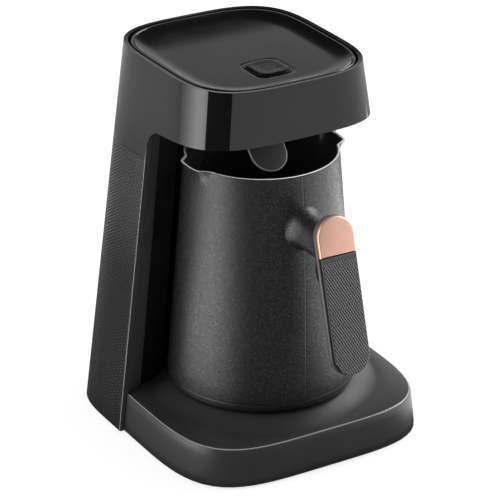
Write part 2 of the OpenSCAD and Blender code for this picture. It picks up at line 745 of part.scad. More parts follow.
module pot_base_cup() color("#4c4c4e") at_pot() difference() {
    rotate_extrude() polygon(concat([[recess_r, pot_z]],
        [for (i = [0:6]) let (a = 90*i/6) [pot_r - 4.2 + 4*sin(a), cup_top - 1 - (cup_top - 1 - pot_z)*cos(a)]],
        [[pot_r - 0.2, cup_top], [spigot_r, cup_top], [spigot_r, foot_z + 5], [spigot_r - 2, foot_z + 5],
        [spigot_r - 2, pot_z + recess_h + 2], [plug_r + 0.1, pot_z + recess_h + 2],
        [plug_r + 0.1, pot_z + recess_h], [recess_r, pot_z + recess_h]]));
    for (a = cup_angles) rotate([0, 0, a]) translate([boss_at, 0, pot_z]) cylinder(r = screw_r + 0.1, h = 12, $fn = 24);
}

cup_angles = [30, 150, 270];
boss_at = 26;
plug_r = 16;
plate_z = floor_z - pot_t - 3.1;          // underside of the heater plate
plate_r = wall_r(floor_z) - pot_t - 6;

module pot_gasket() color("#b04030") at_pot() rotate_extrude()
    translate([spigot_r - 1, foot_z + 5 + 0.85]) circle(r = 0.8, $fn = 24);

module heater_plate() color("#c8c8cc") at_pot() difference() {
    union() {
        translate([0, 0, plate_z]) cylinder(r = plate_r, h = 3);
        for (a = cup_angles) rotate([0, 0, a]) translate([boss_at, 0, pot_z + recess_h + 2.05])
            cylinder(r = 3.5, h = plate_z - pot_z - recess_h - 2);
    }
    for (a = cup_angles) rotate([0, 0, a]) translate([boss_at, 0, pot_z])
        cylinder(r = screw_r + 0.05, h = plate_z - pot_z + 1.5, $fn = 24);
}

element_r = plate_r - 10.5;
element_tube = 2.6;

module heating_element() color("#9a8f86") at_pot() {
    rotate([0, 0, 285]) rotate_extrude(angle = 330) translate([element_r, plate_z - element_tube - 0.02])
        circle(r = element_tube, $fn = 24);
    for (a = [285, 255]) rotate([0, 0, a]) translate([element_r, 0, pot_z + recess_h + 2.6])
        cylinder(r = 1.6, h = plate_z - element_tube - pot_z - recess_h - 2.6, $fn = 24);
}

module thermostat() color("#8f8f60") at_pot() translate([0, 0, plate_z - 4.02]) {
    cylinder(r = 8, h = 4);
    for (s = [-1, 1]) translate([s*9 - 2, -1.5, 1]) cube([4, 3, 0.8]);
}

module cup_screws() color("silver") at_pot() for (a = cup_angles) rotate([0, 0, a])
    translate([boss_at, 0, pot_z + recess_h]) {
        translate([0, 0, -1.4]) cylinder(r = 2.8, h = 1.38);
        translate([0, 0, -1]) cylinder(r = screw_r, h = plate_z - pot_z - recess_h + 1.5, $fn = 24);
    }

module pot_plug() color("#181819") at_pot() {
    translate([0, 0, pot_z + recess_h - 0.2]) cylinder(r = plug_r, h = 2.6);
    translate([0, 0, pot_z + recess_h + 2.05]) cylinder(r = plug_r + 3, h = 0.9);
}

module pot_contacts() color("#c9a24a") at_pot() translate([0, 0, pot_z + recess_h - 0.52]) {
    cylinder(r = 2.2, h = 0.3);
    for (r = [5, 10]) difference() {
        cylinder(r = r + 1.4, h = 0.3);
        translate([0, 0, -1]) cylinder(r = r - 1.4, h = 2);
    }
}

// ---- Handle ----

lean_s = sin(handle_lean);
lean_c = cos(handle_lean);
top_y = grip_front + handle_l*lean_s;     // front of the handle at its top
// front face of the grip at height z
function grip_y(z) = top_y - (handle_z - z)*lean_s/lean_c;

// Round hole along the neck between two distances in front of the pot's wall
module handle_bore(r, from, to) {
    translate([0, pot_front - from, neck_z]) rotate([90, 0, 0]) cylinder(r = r, h = to - from, $fn = 32);
}

// The handle's own frame: its top at the origin, running down, its front facing -Y
module on_handle() {
    translate([0, top_y, handle_z]) rotate([-handle_lean, 0, 0]) children();
}

// The handle's long rounded outline between two distances from its top
module paddle(from, to, y0, t, inset) {
    r = grip_w/2 - inset;
    translate([0, y0 + t, 0]) rotate([90, 0, 0]) linear_extrude(t) intersection() {
        union() {
            translate([0, -grip_w/2]) circle(r = r);
            translate([0, grip_w/2 - handle_l]) circle(r = r);
            translate([-r, grip_w/2 - handle_l]) square([2*r, handle_l - grip_w]);
        }
        translate([-grip_w, -to]) square([2*grip_w, to - from]);
    }
}

neck_front = pot_front - boss_l - 0.05;   // where the frame's neck starts
screw_seat = grip_y(neck_z) + pad_t + 3.4; // depth of the seat of the handle's screw

neck_down = neck_drop/lean_c - (frame_t + pad_t)*lean_s/lean_c;   // along the paddle to the neck's middle
web_h = 10;                                // how far the neck's fillets climb from the paddle
web_low = 15;                              // length of the fillet below the neck
web_up = 4;                                // and of the one above

// Height of the fillets behind the paddle at a distance down it
function web_at(d) = let (low = neck_down + neck_r - 2, up = neck_down - neck_r + 2,
    t = d > low ? (d - low)/web_low : d < up ? (up - d)/web_up : 0)
    t >= 1 ? 0 : web_h*(1 - sqrt(t*(2 - t)));

// Slice through the paddle's frame at a distance down it
function frame_slice(d) = let (w = grip_w/2 + 1, x = neck_r - 0.4, b = pad_t + frame_t)
    concat([[-w, pad_t + 0.05], [w, pad_t + 0.05], [w, b]],
        [for (i = [0:12]) let (a = 180*i/12) [x*cos(a), b + 0.01 + web_at(d)*pow(sin(a), 0.7)]], [[-w, b]]);

module handle_frame() color("#59595b") difference() {
    union() {
        on_handle() intersection() {
            paddle(0, handle_l, pad_t, frame_t + web_h + 2, 0.3);
            loft([for (d = concat([handle_l + 1, handle_l - 20], [for (d = [56:-2:6]) d], [-1])) [-d, frame_slice(d)]]);
        }
        difference() {
            translate([0, neck_front, neck_z]) rotate([90, 0, 0])
                cylinder(r = neck_r, h = neck_front - grip_y(neck_z));
            on_handle() translate([-grip_w, pad_t + 1 - 40, -handle_l]) cube([2*grip_w, 40, 2*handle_l]);
        }
    }
    handle_bore(2.2, 0, pot_front - screw_seat + 1);
    // seat of the screw's head, under the cap
    translate([0, screw_seat, neck_z]) rotate([90, 0, 0]) cylinder(r = 4, h = 30);
}

module handle_screw() color("silver") translate([0, screw_seat - 0.05, neck_z]) {
    rotate([90, 0, 0]) cylinder(r = 3.6, h = 2);
    rotate([-90, 0, 0]) cylinder(r = 2, h = pot_front - screw_seat - 2, $fn = 32);
}

module grip_pad() color("#505052") on_handle() paddle(cap_l + 0.4, handle_l, 0, pad_t, 0);

module copper_cap() color("#dcae97") on_handle() paddle(0, cap_l, 0, pad_t, 0);

outer_shell();
top_tray();
tray_ring();
button_surround();
power_button();
button_dome();
control_board();
board_screws();
tact_switch();
switch_plunger();
status_leds();
buzzer();
head_underside();
sensor_tongue();
sensor_lens();
sensor_board();
left_wing();
right_wing();
bay_liner();
tower_chassis();
power_board();
transformer();
relay();
capacitor();
heat_sink();
terminal_block();
board_standoffs();
chassis_screws();
head_harness();
coupler_wires();
cord_gland();
base_body();
bottom_cover();
feet();
cover_screws();
coupler_socket();
coupler_pins();
pot_body();
pot_base_cup();
pot_gasket();
heater_plate();
heating_element();
thermostat();
cup_screws();
pot_plug();
pot_contacts();
handle_frame();
handle_screw();
grip_pad();
copper_cap();
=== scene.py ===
from math import atan, atan2, copysign, cos, pi, radians, sin, sqrt
import bmesh
import bpy
from mathutils import Euler, Matrix, Vector


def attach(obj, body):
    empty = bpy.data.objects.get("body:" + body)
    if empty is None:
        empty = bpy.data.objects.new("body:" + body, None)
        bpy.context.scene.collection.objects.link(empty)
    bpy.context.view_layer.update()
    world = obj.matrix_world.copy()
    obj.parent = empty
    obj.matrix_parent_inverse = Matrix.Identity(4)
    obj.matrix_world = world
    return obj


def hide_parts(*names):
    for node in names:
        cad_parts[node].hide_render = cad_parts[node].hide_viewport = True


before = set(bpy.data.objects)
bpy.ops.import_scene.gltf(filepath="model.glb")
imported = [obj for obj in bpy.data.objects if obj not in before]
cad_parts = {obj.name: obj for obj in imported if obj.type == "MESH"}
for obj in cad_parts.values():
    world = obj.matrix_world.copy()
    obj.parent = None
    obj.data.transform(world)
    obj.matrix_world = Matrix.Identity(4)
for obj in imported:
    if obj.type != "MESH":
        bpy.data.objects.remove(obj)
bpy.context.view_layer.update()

scene = bpy.context.scene
mm = 0.001  # shapes are drawn in millimetres and made metres when finished
print("frame loaded")

# The machine's main measures, in millimetres

body = {
    "footWidth": 163.4,
    "topWidth": 110.2,
    "height": 220.0,
    "front": -55.05,  # at the table
    "back": 94.25,
    "frontLean": 19.0,
    "backLean": 6.2,
    "corner": 54.0,
    "squareness": 3.36,
    "wall": 2.4,
    "lift": 1.2,  # height of the shell's foot above the table
    "cornerSteps": 26,
}

bay = {
    "headFront": 189.2,  # lower front edge of the head
    "slope": 0.084,
    "towerFront": 26.05,
    "notch": 12.0,
}

pot = {
    "y": 4.55,
    "under": 30.0,
    "foot": 35.0,  # where it is widest
    "floor": 46.2,
    "lip": 158.3,
    "rim": 167.3,
    "footRadius": 54.1,
    "rimRadius": 43.5,
    "wall": 1.5,
    "lipOut": (5.55, 4.5),
    "lipHalf": 20.0,  # degrees from its middle to its end
    "lipFlat": 8.5,
    "lipPower": 1.6,  # how late a lip swings out on the way up
    "lipTurns": (-4.2, 0.6),  # degrees the two lips are turned from square, anticlockwise
    "steps": 240,
    "lipSteps": 24,  # finer steps over half a lip
    "seamTop": 0.0,  # the front seam leans: where it is at the top and at the foot
    "seamFoot": -2.9,
}
pot["taper"] = (pot["footRadius"] - pot["rimRadius"]) / (pot["rim"] - pot["foot"])

def halfWidth(z):
    return (body["footWidth"] + (body["topWidth"] - body["footWidth"]) * z / body["height"]) / 2

def frontAt(z):
    return body["front"] + body["frontLean"] * z / body["height"]

def backAt(z):
    return body["back"] - body["backLean"] * z / body["height"]

def undersideAt(y):
    return bay["headFront"] - bay["slope"] * (y - frontAt(bay["headFront"]))

def superPoint(angle, rx, ry, n):
    c, s = cos(angle), sin(angle)
    k = (abs(c) ** n + abs(s) ** n) ** (-1 / n)
    return rx * k * c, ry * k * s

# A quarter of a rounded outline; turn is 0, 90, 180 or 270
def cornerPoints(cx, cy, rx, ry, turn, n):
    steps = body["cornerSteps"]
    points = []
    for i in range(steps + 1):
        x, y = superPoint(radians(turn + 90 * i / steps), rx, ry, n)
        points.append((cx + x, cy + y))
    return points

def bodyOutline(z, inset):
    half, front, back = halfWidth(z) - inset, frontAt(z) + inset, backAt(z) - inset
    r = min(body["corner"] - inset, half - 1, (back - front) / 2 - 1)
    n = body["squareness"]
    corners = (half - r, back - r), (r - half, back - r), (r - half, front + r), (half - r, front + r)
    return [Vector((*p, z)) for i, c in enumerate(corners) for p in cornerPoints(*c, r, r, 90 * i, n)]

def onCircle(y, radius, angle, z):
    return Vector((radius * cos(angle), y + radius * sin(angle), z))

def circlePoints(y, radius, z, count):
    return [onCircle(y, radius, 2 * pi * i / count, z) for i in range(count)]

# Half a turn of points; a negative radius starts it on the left
def halfTurn(radius, along, steps=40):
    return [(radius * cos(pi * i / steps), along + radius * sin(pi * i / steps)) for i in range(steps + 1)]

# Mesh tools

# Skins a list of rings by extruding the first one from ring to ring
def loft(bm, rings, ends="caps"):
    uv = bm.loops.layers.uv.verify()
    count = len(rings[0])
    verts = [bm.verts.new(p) for p in rings[0]]
    firstEdges = [bm.edges.new((verts[i], verts[(i + 1) % count])) for i in range(count)]
    place = {v: (i, 0) for i, v in enumerate(verts)}
    edges = firstEdges
    for k, points in enumerate(rings[1:], 1):
        made = bmesh.ops.extrude_edge_only(bm, edges=edges)["geom"]
        new = {v for v in made if isinstance(v, bmesh.types.BMVert)}
        for v in new:
            source = next(e.other_vert(v) for e in v.link_edges if e.other_vert(v) not in new)
            i = place[source][0]
            v.co = points[i]
            place[v] = (i, k)
        edges = list({e for v in new for e in v.link_edges if e.other_vert(v) in new})
    if ends == "loop":
        bmesh.ops.bridge_loops(bm, edges=firstEdges + edges)
    if ends == "caps":
        bmesh.ops.holes_fill(bm, edges=firstEdges + edges, sides=0)
    # the map runs round the ring in millimetres, and up with the height
    middle = rings[len(rings) // 2]
    around = [0.0]
    for i in range(count):
        around.append(around[-1] + (middle[(i + 1) % count] - middle[i]).length)
    for face in bm.faces:
        spots = [place.get(loop.vert) for loop in face.loops]
        if None in spots or len(spots) != 4:
            continue
        wraps = max(i for i, k in spots) == count - 1 and min(i for i, k in spots) == 0
        for loop, (i, k) in zip(face.loops, spots):
            loop[uv].uv = (around[count if wraps and i == 0 else i], rings[k][i].z)
    return place

def finishPiece(bm, name, ridesOn, nodes, slotName, materials, sharp=38, modifiers=()):
    bmesh.ops.scale(bm, vec=(mm, mm, mm), verts=bm.verts)
    mesh = bpy.data.meshes.new(name)
    bm.to_mesh(mesh)
    bm.free()
    piece = bpy.data.objects.new(name, mesh)
    scene.collection.objects.link(piece)
    for mat in materials:
        mesh.materials.append(mat)
    mesh.shade_smooth()
    mesh.set_sharp_from_angle(angle=radians(sharp))
    for kind, settings in modifiers:
        modifier = piece.modifiers.new(kind.title(), kind)
        for key, value in settings.items():
            setattr(modifier, key, value)
    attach(piece, ridesOn)
    if nodes:
        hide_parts(*nodes)

def outward(bm):
    bmesh.ops.recalc_face_normals(bm, faces=bm.faces)

def loftedPiece(rings, ends, *details, **extra):
    bm = bmesh.new()
    loft(bm, rings, ends)
    outward(bm)
    finishPiece(bm, *details, **extra)

# Gives the rings of a loft up to one of them their own material
def markSides(bm, place, upTo):
    for face in bm.faces:
        if max(place[v][1] for v in face.verts) <= upTo:
            face.material_index = 1

def thicken(wall, even, **settings):
    return ("SOLIDIFY", {"thickness": wall * mm, "offset": -1, "use_even_offset": even, **settings})

# An open shell whose leftmost face looks inwards is turned the right way out
def turnOutward(bm):
    outward(bm)
    left = min(bm.faces, key=lambda f: f.calc_center_median().x)
    if left.normal.x > 0:
        bmesh.ops.reverse_faces(bm, faces=bm.faces)

def softEdges(width, angle=40, segments=3):
    limit = {"limit_method": "ANGLE", "angle_limit": radians(angle)}
    return ("BEVEL", {"width": width * mm, "segments": segments, **limit, "harden_normals": True})

# Material tools

def addNode(mat, kind, inputs=None, **settings):
    made = mat.node_tree.nodes.new("ShaderNode" + kind)
    for key, value in settings.items():
        setattr(made, key, value)
    for key, value in (inputs or {}).items():
        if isinstance(value, bpy.types.NodeSocket):
            mat.node_tree.links.new(value, made.inputs[key])
        else:
            made.inputs[key].default_value = value
    return made

def calc(mat, operation, *values):
    return addNode(mat, "Math", dict(enumerate(values)), operation=operation).outputs[0]

def times(mat, a, b):
    return calc(mat, "MULTIPLY", a, b)

def plus(mat, a, b):
    return calc(mat, "ADD", a, b)

def principled(mat):
    return mat.node_tree.nodes["Principled BSDF"]

def remap(mat, value, low, high, toLow, toHigh, smooth=False):
    kind = "SMOOTHSTEP" if smooth else "LINEAR"
    inputs = {0: value, 1: low, 2: high, 3: toLow, 4: toHigh}
    return addNode(mat, "MapRange", inputs, interpolation_type=kind).outputs[0]

def newMaterial(name, colour, roughness, **settings):
    mat = bpy.data.materials.new(name)
    mat.use_nodes = True
    shader = principled(mat)
    shader.inputs["Base Color"].default_value = (*colour, 1)
    shader.inputs["Roughness"].default_value = roughness
    for socket, value in settings.items():
        shader.inputs[socket.replace("_", " ")].default_value = value
    return mat

def plug(mat, value, socket):
    mat.node_tree.links.new(value, principled(mat).inputs[socket])

def position(mat):
    return addNode(mat, "TexCoord").outputs["Object"]

def axes(mat, vector=None):
    return addNode(mat, "SeparateXYZ", {0: vector or position(mat)}).outputs

def noise(mat, scale, detail=2.0, roughness=0.5, vector=None):
    inputs = {"Vector": vector or position(mat), "Scale": scale, "Detail": detail, "Roughness": roughness}
    return addNode(mat, "TexNoise", inputs).outputs["Fac"]

def bump(mat, height, distance, strength=1.0, normal=None):
    inputs = {"Height": height, "Distance": distance, "Strength": strength}
    if normal:
        inputs["Normal"] = normal
    return addNode(mat, "Bump", inputs).outputs[0]

# Mixes two colours, each a plain one or a socket
def tint(mat, value, dark, light, **settings):
    dark, light = (c if isinstance(c, bpy.types.NodeSocket) else (*c, 1) for c in (dark, light))
    return addNode(mat, "Mix", {0: value, 6: dark, 7: light}, data_type="RGBA", **settings).outputs[2]

# Moulded plastic with a fine grain, in grains per metre and metres of depth
def grainPlastic(name, colour, roughness, grain=1800, depth=0.00004, spread=0.15):
    mat = newMaterial(name, colour, roughness)
    fine = noise(mat, grain, 2.0, 0.6)
    cloud = noise(mat, 40, 2.0)
    dark = [c * (1 - spread) for c in colour]
    light = [c * (1 + spread) for c in colour]
    plug(mat, tint(mat, plus(mat, times(mat, fine, 0.6), times(mat, cloud, 0.4)), dark, light), "Base Color")
    plug(mat, remap(mat, cloud, 0.3, 0.7, roughness - 0.03, roughness + 0.03), "Roughness")
    plug(mat, bump(mat, fine, depth, 0.6), "Normal")
    return mat

def glossPlastic(name, colour, roughness, **settings):
    mat = newMaterial(name, colour, roughness, **settings)
    wave = noise(mat, 55, 1.0)
    plug(mat, remap(mat, wave, 0.3, 0.7, roughness * 0.8, roughness * 1.3), "Roughness")
    plug(mat, bump(mat, wave, 0.00002, 0.25), "Normal")
    return mat

def brushedMetal(name, colour, roughness):
    mat = newMaterial(name, colour, roughness, Metallic=1.0)
    stretched = addNode(mat, "Mapping", {"Vector": position(mat), "Scale": (300, 300, 4000)}).outputs[0]
    lines = noise(mat, 1.0, 2.0, 0.5, stretched)
    plug(mat, remap(mat, lines, 0.3, 0.7, roughness - 0.06, roughness + 0.08), "Roughness")
    plug(mat, bump(mat, lines, 0.00001, 0.4), "Normal")
    return mat

edgeHighlight = glossPlastic("paintedEdgeHighlight", (0.16, 0.16, 0.162), 0.3)  # painted highlight: a lighter colour along the edges of the black mouldings

# Outer shell

shellFinish = {
    "colour": (0.004, 0.004, 0.0045),
    "glintColour": (0.17, 0.17, 0.172),  # painted highlight: thin pale line along the bay's upright edges
    "roughness": 0.05,
    "weaveColour": (0.0065, 0.0065, 0.0067),
    "weaveLightShare": 0.9,  # share of painted light added towards the head
    "weaveLightAdded": (0.017, 0.017, 0.0173),  # colour of the painted light added there
    "weaveRise": (0.08, 0.155),  # heights between which the painted light comes in, in metres
    # how far the painted shade and highlight of the cords reach from the plain colour
    "weaveShadeContrast": 0.95,
    "weaveRoughness": (0.12, 0.27),  # at the foot and at the top
    "weaveRibs": (-0.08, 0.72),  # cycles in a millimetre round the tower and up it
    "weaveTwill": (-0.3, 0.5),
    "weaveTop": 163.0,  # height where the texture fades in
    "weaveFade": 5.0,
    "weaveEdge": 1.2,  # smooth band along the front edge
    "weaveDepth": 0.0007,
    "glint": (0.15, 0.3, 0.8, 1.0),  # where the painted highlight line starts, is full, fades and ends
    "glintTop": (0.165, 0.175),
}

def shellMaterial():
    settings = shellFinish
    mat = newMaterial("pianoGlossShell", settings["colour"], settings["roughness"])
    uv = addNode(mat, "UVMap").outputs[0]
    around, up = axes(mat, uv)[:2]

    def cords(key):
        across, along = settings[key]
        line = plus(mat, times(mat, around, across), times(mat, up, along))
        return calc(mat, "SINE", times(mat, line, 2 * pi))

    twill = times(mat, cords("weaveTwill"), 0.45)
    weave = plus(mat, times(mat, cords("weaveRibs"), 0.55), twill)
    depth, height = axes(mat)[1:]
    fadeFrom = settings["weaveTop"] + settings["weaveFade"]
    low = remap(mat, height, fadeFrom * mm, settings["weaveTop"] * mm, 0.0, 1.0, True)
    edge = bay["towerFront"] + settings["weaveEdge"]
    behind = remap(mat, depth, edge * mm, (edge + 0.4) * mm, 0.0, 1.0)
    mask = times(mat, low, behind)
    raised = remap(mat, weave, -0.8, 0.8, 0.0, 1.0)
    contrast = settings["weaveShadeContrast"]
    rising = remap(mat, height, *settings["weaveRise"], 0.0, 1.0, True)
    # painted shade in the sunk cords and painted highlight on the raised ones, following the relief
    sunk, proud = ([c * (1 + sign * contrast) for c in settings["weaveColour"]] for sign in (-1, 1))
    weaveColour = tint(mat, raised, sunk, proud)
    # painted light: the weave is made lighter towards the head
    paintedLight = times(mat, rising, settings["weaveLightShare"])
    weaveColour = tint(mat, paintedLight, weaveColour, settings["weaveLightAdded"], blend_type="ADD")
    colour = tint(mat, mask, settings["colour"], weaveColour)
    # painted highlight: a thin pale line on the outside along the bay's upright edges, fading out below the head
    begin, full, fades, ends = ((bay["towerFront"] + at) * mm for at in settings["glint"])
    glint = remap(mat, depth, begin, full, 0.0, 1.0)
    glint = times(mat, glint, remap(mat, depth, fades, ends, 1.0, 0.0))
    glint = times(mat, glint, remap(mat, height, *settings["glintTop"], 1.0, 0.0))
    colour = tint(mat, glint, colour, settings["glintColour"])
    plug(mat, colour, "Base Color")
    ripple = noise(mat, 30, 1.0)
    gloss = remap(mat, ripple, 0.3, 0.7, settings["roughness"] * 0.85, settings["roughness"] * 1.2)
    low, high = settings["weaveRoughness"]
    rough = addNode(mat, "Mix", {0: mask, 2: gloss, 3: remap(mat, rising, 0.0, 1.0, low, high)}).outputs[0]
    plug(mat, rough, "Roughness")
    relief = times(mat, raised, times(mat, mask, remap(mat, rising, 0.0, 1.0, 0.4, 1.0)))
    plug(mat, bump(mat, relief, settings["weaveDepth"], 1.0), "Normal")
    return mat

# Straight cuts that bound the open bay seen from the side: a point and the way out of the bay
def bayCuts():
    slopeAngle = atan(bay["slope"])
    r = bay["notch"]
    cy = bay["towerFront"] - r
    cz = undersideAt(cy) - r / cos(slopeAngle)
    cuts = [
        (Vector((0, 0, undersideAt(0))), Vector((0, bay["slope"], 1)).normalized()),
        (Vector((0, bay["towerFront"], 0)), Vector((0, 1, 0))),
    ]
    steps = 12
    for i in range(steps):
        a = (pi / 2 - slopeAngle) * (i + 0.5) / steps
        out = Vector((0, cos(a), sin(a)))
        half = (pi / 2 - slopeAngle) / steps / 2
        cuts.append((Vector((0, cy, cz)) + out * r * cos(half), out))
    return cuts, cy, cz

def makeShell():
    bm = bmesh.new()
    low, top, levels = body["lift"], body["height"], 44
    loft(bm, [bodyOutline(low + (top - low) * k / levels, 0) for k in range(levels + 1)], ends="open")
    turnOutward(bm)
    cuts, cy, cz = bayCuts()
    for index, (point, out) in enumerate(cuts):
        faces = bm.faces[:]
        if index > 1:
            middles = [(f, f.calc_center_median()) for f in faces]
            faces = [f for f, c in middles if cy - 1 < c.y < bay["towerFront"] + 1 and c.z > cz - 6]
        geom = set(faces)
        for f in faces:
            geom.update(f.edges)
            geom.update(f.verts)
        bmesh.ops.bisect_plane(bm, geom=list(geom), plane_co=point, plane_no=out, dist=0.0001)
    inBay = [f for f in bm.faces if all((f.calc_center_median() - point).dot(out) < 0 for point, out in cuts)]
    bmesh.ops.delete(bm, geom=inBay, context="FACES")
    thick = thicken(body["wall"], True, material_offset_rim=1)
    details = "outerShell", "machine", ["outer_shell"], "gloss_black", [shellMaterial(), shellEdgeHighlight]
    finishPiece(bm, *details, modifiers=[thick, softEdges(0.8, 50, 4)])

edgeFoot, edgeHead = (0.028, 0.028, 0.0285), (0.003, 0.003, 0.003)  # painted highlight on the shell's cut edges, paler low down and dark at the head
shellEdgeHighlight = glossPlastic("shellEdgeHighlight", edgeFoot, 0.2)
edgeRise = remap(shellEdgeHighlight, axes(shellEdgeHighlight)[2], 0.17, 0.2, 0.0, 1.0)
plug(shellEdgeHighlight, tint(shellEdgeHighlight, edgeRise, edgeFoot, edgeHead), "Base Color")
makeShell()
print("outer shell made")

# Tray, its ring and the power button

tray = {
    "inset": 5.2,  # from the shell's outside to the tray
    "deep": 3.2,
    "slope": 10.0,
    "longSlope": 34.0,  # the dish rises slowly towards the back
    "lift": 2.4,
    "reach": 12.5,
    "power": 2.3,  # how quickly it levels out
    "panel": 2.0,
    "groove": 1.2,
    "top": 219.4,
    "brow": 0.08,  # fall from its top to where the slope starts
    "colour": (0.002, 0.002, 0.0021),
    "roughness": 0.19,
}
tray["floor"] = body["height"] - tray["deep"]
tray["low"] = tray["floor"] - tray["panel"]

button = {
    "y": -1.15,
    "width": 19.6,
    "depth": 21.2,
    "squareness": 4.0,
    "rise": 1.0,
    "gap": 0.5,
    "surround": 1.6,
    "cup": (0.6, -1.6, 3.3),  # centre and radius of the little cup drawn on it
    "line": 0.42,
}

# The button's rounded square grown by a margin, with one point for each point of a guide ring
def squircleRing(guide, grow, z):
    points = []
    for p in guide:
        angle = atan2((p.y - button["y"]) / button["depth"], p.x / button["width"])
        x, y = superPoint(angle, button["width"] / 2 + grow, button["depth"] / 2 + grow, button["squareness"])
        points.append(Vector((x, button["y"] + y, z)))
    return points

def makeTray(finish):
    floor, low, inset = tray["floor"], tray["low"], tray["inset"]
    rings = [bodyOutline(low, inset), bodyOutline(tray["top"] - 0.25, inset), bodyOutline(tray["top"], inset + 0.2)]
    start = backAt(tray["top"]) - inset - tray["longSlope"]
    rings.append(bodyOutline(tray["top"] - tray["brow"], inset + 0.45))
    for k in range(1, 15):
        along = tray["reach"] * (k / 14) ** 1.5
        ring = bodyOutline(floor, inset + 0.45 + along)
        for p in ring:
            p.z += tray["lift"] * max(0, (p.y - start) / tray["longSlope"]) ** 2
            p.z += (tray["top"] - tray["brow"] - p.z) * max(0, 1 - along / tray["slope"]) ** tray["power"]
        rings.append(ring)
    guide = rings[-1]
    inner = squircleRing(guide, button["gap"] + 3.4, floor)
    for k in range(1, 13):  # from the foot of the slope to the key, so no ring runs past it
        ring = [a.lerp(b, k / 12) for a, b in zip(guide, inner)]
        for p in ring:
            p.z = floor + tray["lift"] * max(0, (p.y - start) / tray["longSlope"]) ** 2
        rings.append(ring)
    rings += [squircleRing(guide, button["gap"] + 2.6, floor), squircleRing(guide, button["gap"] + 0.3, floor - 0.2)]
    rings += [squircleRing(guide, button["gap"], floor - 0.5), squircleRing(guide, button["gap"], low)]
    loftedPiece(rings, "loop", "topTray", "machine", ["top_tray"], "satin_black", [finish])

def makeTrayRing(finish):
    inner, outer, top = tray["inset"] - 0.05, body["wall"] + tray["groove"], body["height"] - 0.4
    low = tray["low"] + 2.1
    rings = [bodyOutline(low, outer), bodyOutline(top - 0.3, outer), bodyOutline(top, outer + 0.3)]
    rings += [bodyOutline(top, inner - 0.3), bodyOutline(top - 0.3, inner), bodyOutline(low, inner)]
    loftedPiece(rings, "loop", "trayRing", "machine", ["tray_ring"], "dark_trim", [finish])

def makeSurround(finish):
    guide = circlePoints(button["y"], 10, 0, 96)
    floor, wide, gap = tray["floor"], button["surround"], button["gap"]
    levels = [(wide, 0.02), (wide, 0.06), (wide - 0.3, 0.22), (wide - 0.6, 0.3)]
    levels += [(gap + 0.4, 0.3), (gap + 0.12, 0.26), (gap, 0.15), (gap, 0.02)]
    rings = [squircleRing(guide, grow, floor + rise) for grow, rise in levels]
    loftedPiece(rings, "loop", "buttonSurround", "machine", ["button_surround"], "gloss_black", [finish])

def makeButton(finish, side):
    guide = circlePoints(button["y"], 10, 0, 96)
    top = tray["floor"] + button["rise"]
    levels = [(0, tray["low"] - 0.6), (0, top - 0.5), (-0.1, top - 0.22), (-0.35, top - 0.08), (-0.8, top), (-1.8, top)]
    levels += [(-4.0, top - 0.1), (-6.5, top - 0.14), (-8.6, top - 0.15)]
    bm = bmesh.new()
    place = loft(bm, [squircleRing(guide, grow, z) for grow, z in levels])
    outward(bm)
    markSides(bm, place, 2)
    finishPiece(bm, "powerButton", "power_button", ["power_button"], "satin_black", [finish, side])

# Satin key with a cup, its ear and two wisps of steam drawn in darker lines
def buttonMaterial():
    mat = grainPlastic("satinButton", (0.002, 0.002, 0.002), 0.24, 2600, 0.000003)
    principled(mat).inputs["Specular IOR Level"].default_value = 0.4
    x, y = axes(mat)[:2]
    cx, cy, radius = button["cup"]

    def distance(x0, y0):
        dx, dy = calc(mat, "SUBTRACT", x, x0 * mm), calc(mat, "SUBTRACT", y, (button["y"] + y0) * mm)
        return calc(mat, "SQRT", plus(mat, times(mat, dx, dx), times(mat, dy, dy)))

    def stroke(value, at, wide=1.0):
        off = calc(mat, "ABSOLUTE", calc(mat, "SUBTRACT", value, at * mm))
        return remap(mat, off, button["line"] * wide * mm, button["line"] * (wide + 0.5) * mm, 1.0, 0.0)

    def within(value, low, high):
        return times(mat, calc(mat, "GREATER_THAN", value, low * mm), calc(mat, "LESS_THAN", value, high * mm))

    level = button["y"] + cy
    bowl = times(mat, stroke(distance(cx, cy), radius), within(y, level - 9, level))
    ear = times(mat, stroke(distance(cx + radius + 0.9, cy - 0.6), 1.2), within(x, cx + radius, cx + 9))
    steam = plus(mat, stroke(x, cx - 4.2), stroke(x, cx - 2.4))
    steam = times(mat, steam, within(y, level + 1.6, level + 4.0))
    marks = calc(mat, "MINIMUM", plus(mat, plus(mat, bowl, ear), steam), 1.0)
    shader = principled(mat)
    plain = shader.inputs["Roughness"].links[0].from_socket
    plug(mat, addNode(mat, "Mix", {0: marks, 2: plain, 3: 0.75}).outputs[0], "Roughness")
    smooth = shader.inputs["Normal"].links[0].from_socket
    plug(mat, bump(mat, times(mat, marks, -1.0), 0.0005, 1.0, smooth), "Normal")
    plainColour = shader.inputs["Base Color"].links[0].from_socket
    plug(mat, tint(mat, marks, plainColour, (0.002, 0.0018, 0.0018)), "Base Color")
    return mat

satinBlack = grainPlastic("satinTray", tray["colour"], tray["roughness"], 2600, 0.000003)
darkGloss = glossPlastic("darkGlossTrim", (0.005, 0.005, 0.005), 0.14)
makeTray(satinBlack)
makeTrayRing(darkGloss)
makeSurround(satinBlack)
makeButton(buttonMaterial(), glossPlastic("buttonSide", (0.002, 0.002, 0.002), 0.4, Specular_IOR_Level=0.1))
print("tray and button made")

# Front of the tower: wings and liner

tower = {
    "baseTop": 23.65,
    "wingFoot": 15.2,
    "wingTop": 12.2,
    "wingFall": 7.0,
    "wingThick": 2.2,
    "linerThick": 2.0,
    "linerGap": 4.0,
    "linerStart": 33.0,  # degrees from the side where the round part starts
    "fitGap": 0.3,
    "underLift": 0.75,
}

def wingInner(z):
    share = (z - 23.6) / (bay["headFront"] - 23.6)
    return halfWidth(z) - tower["wingFoot"] + (tower["wingFoot"] - tower["wingTop"]) * share

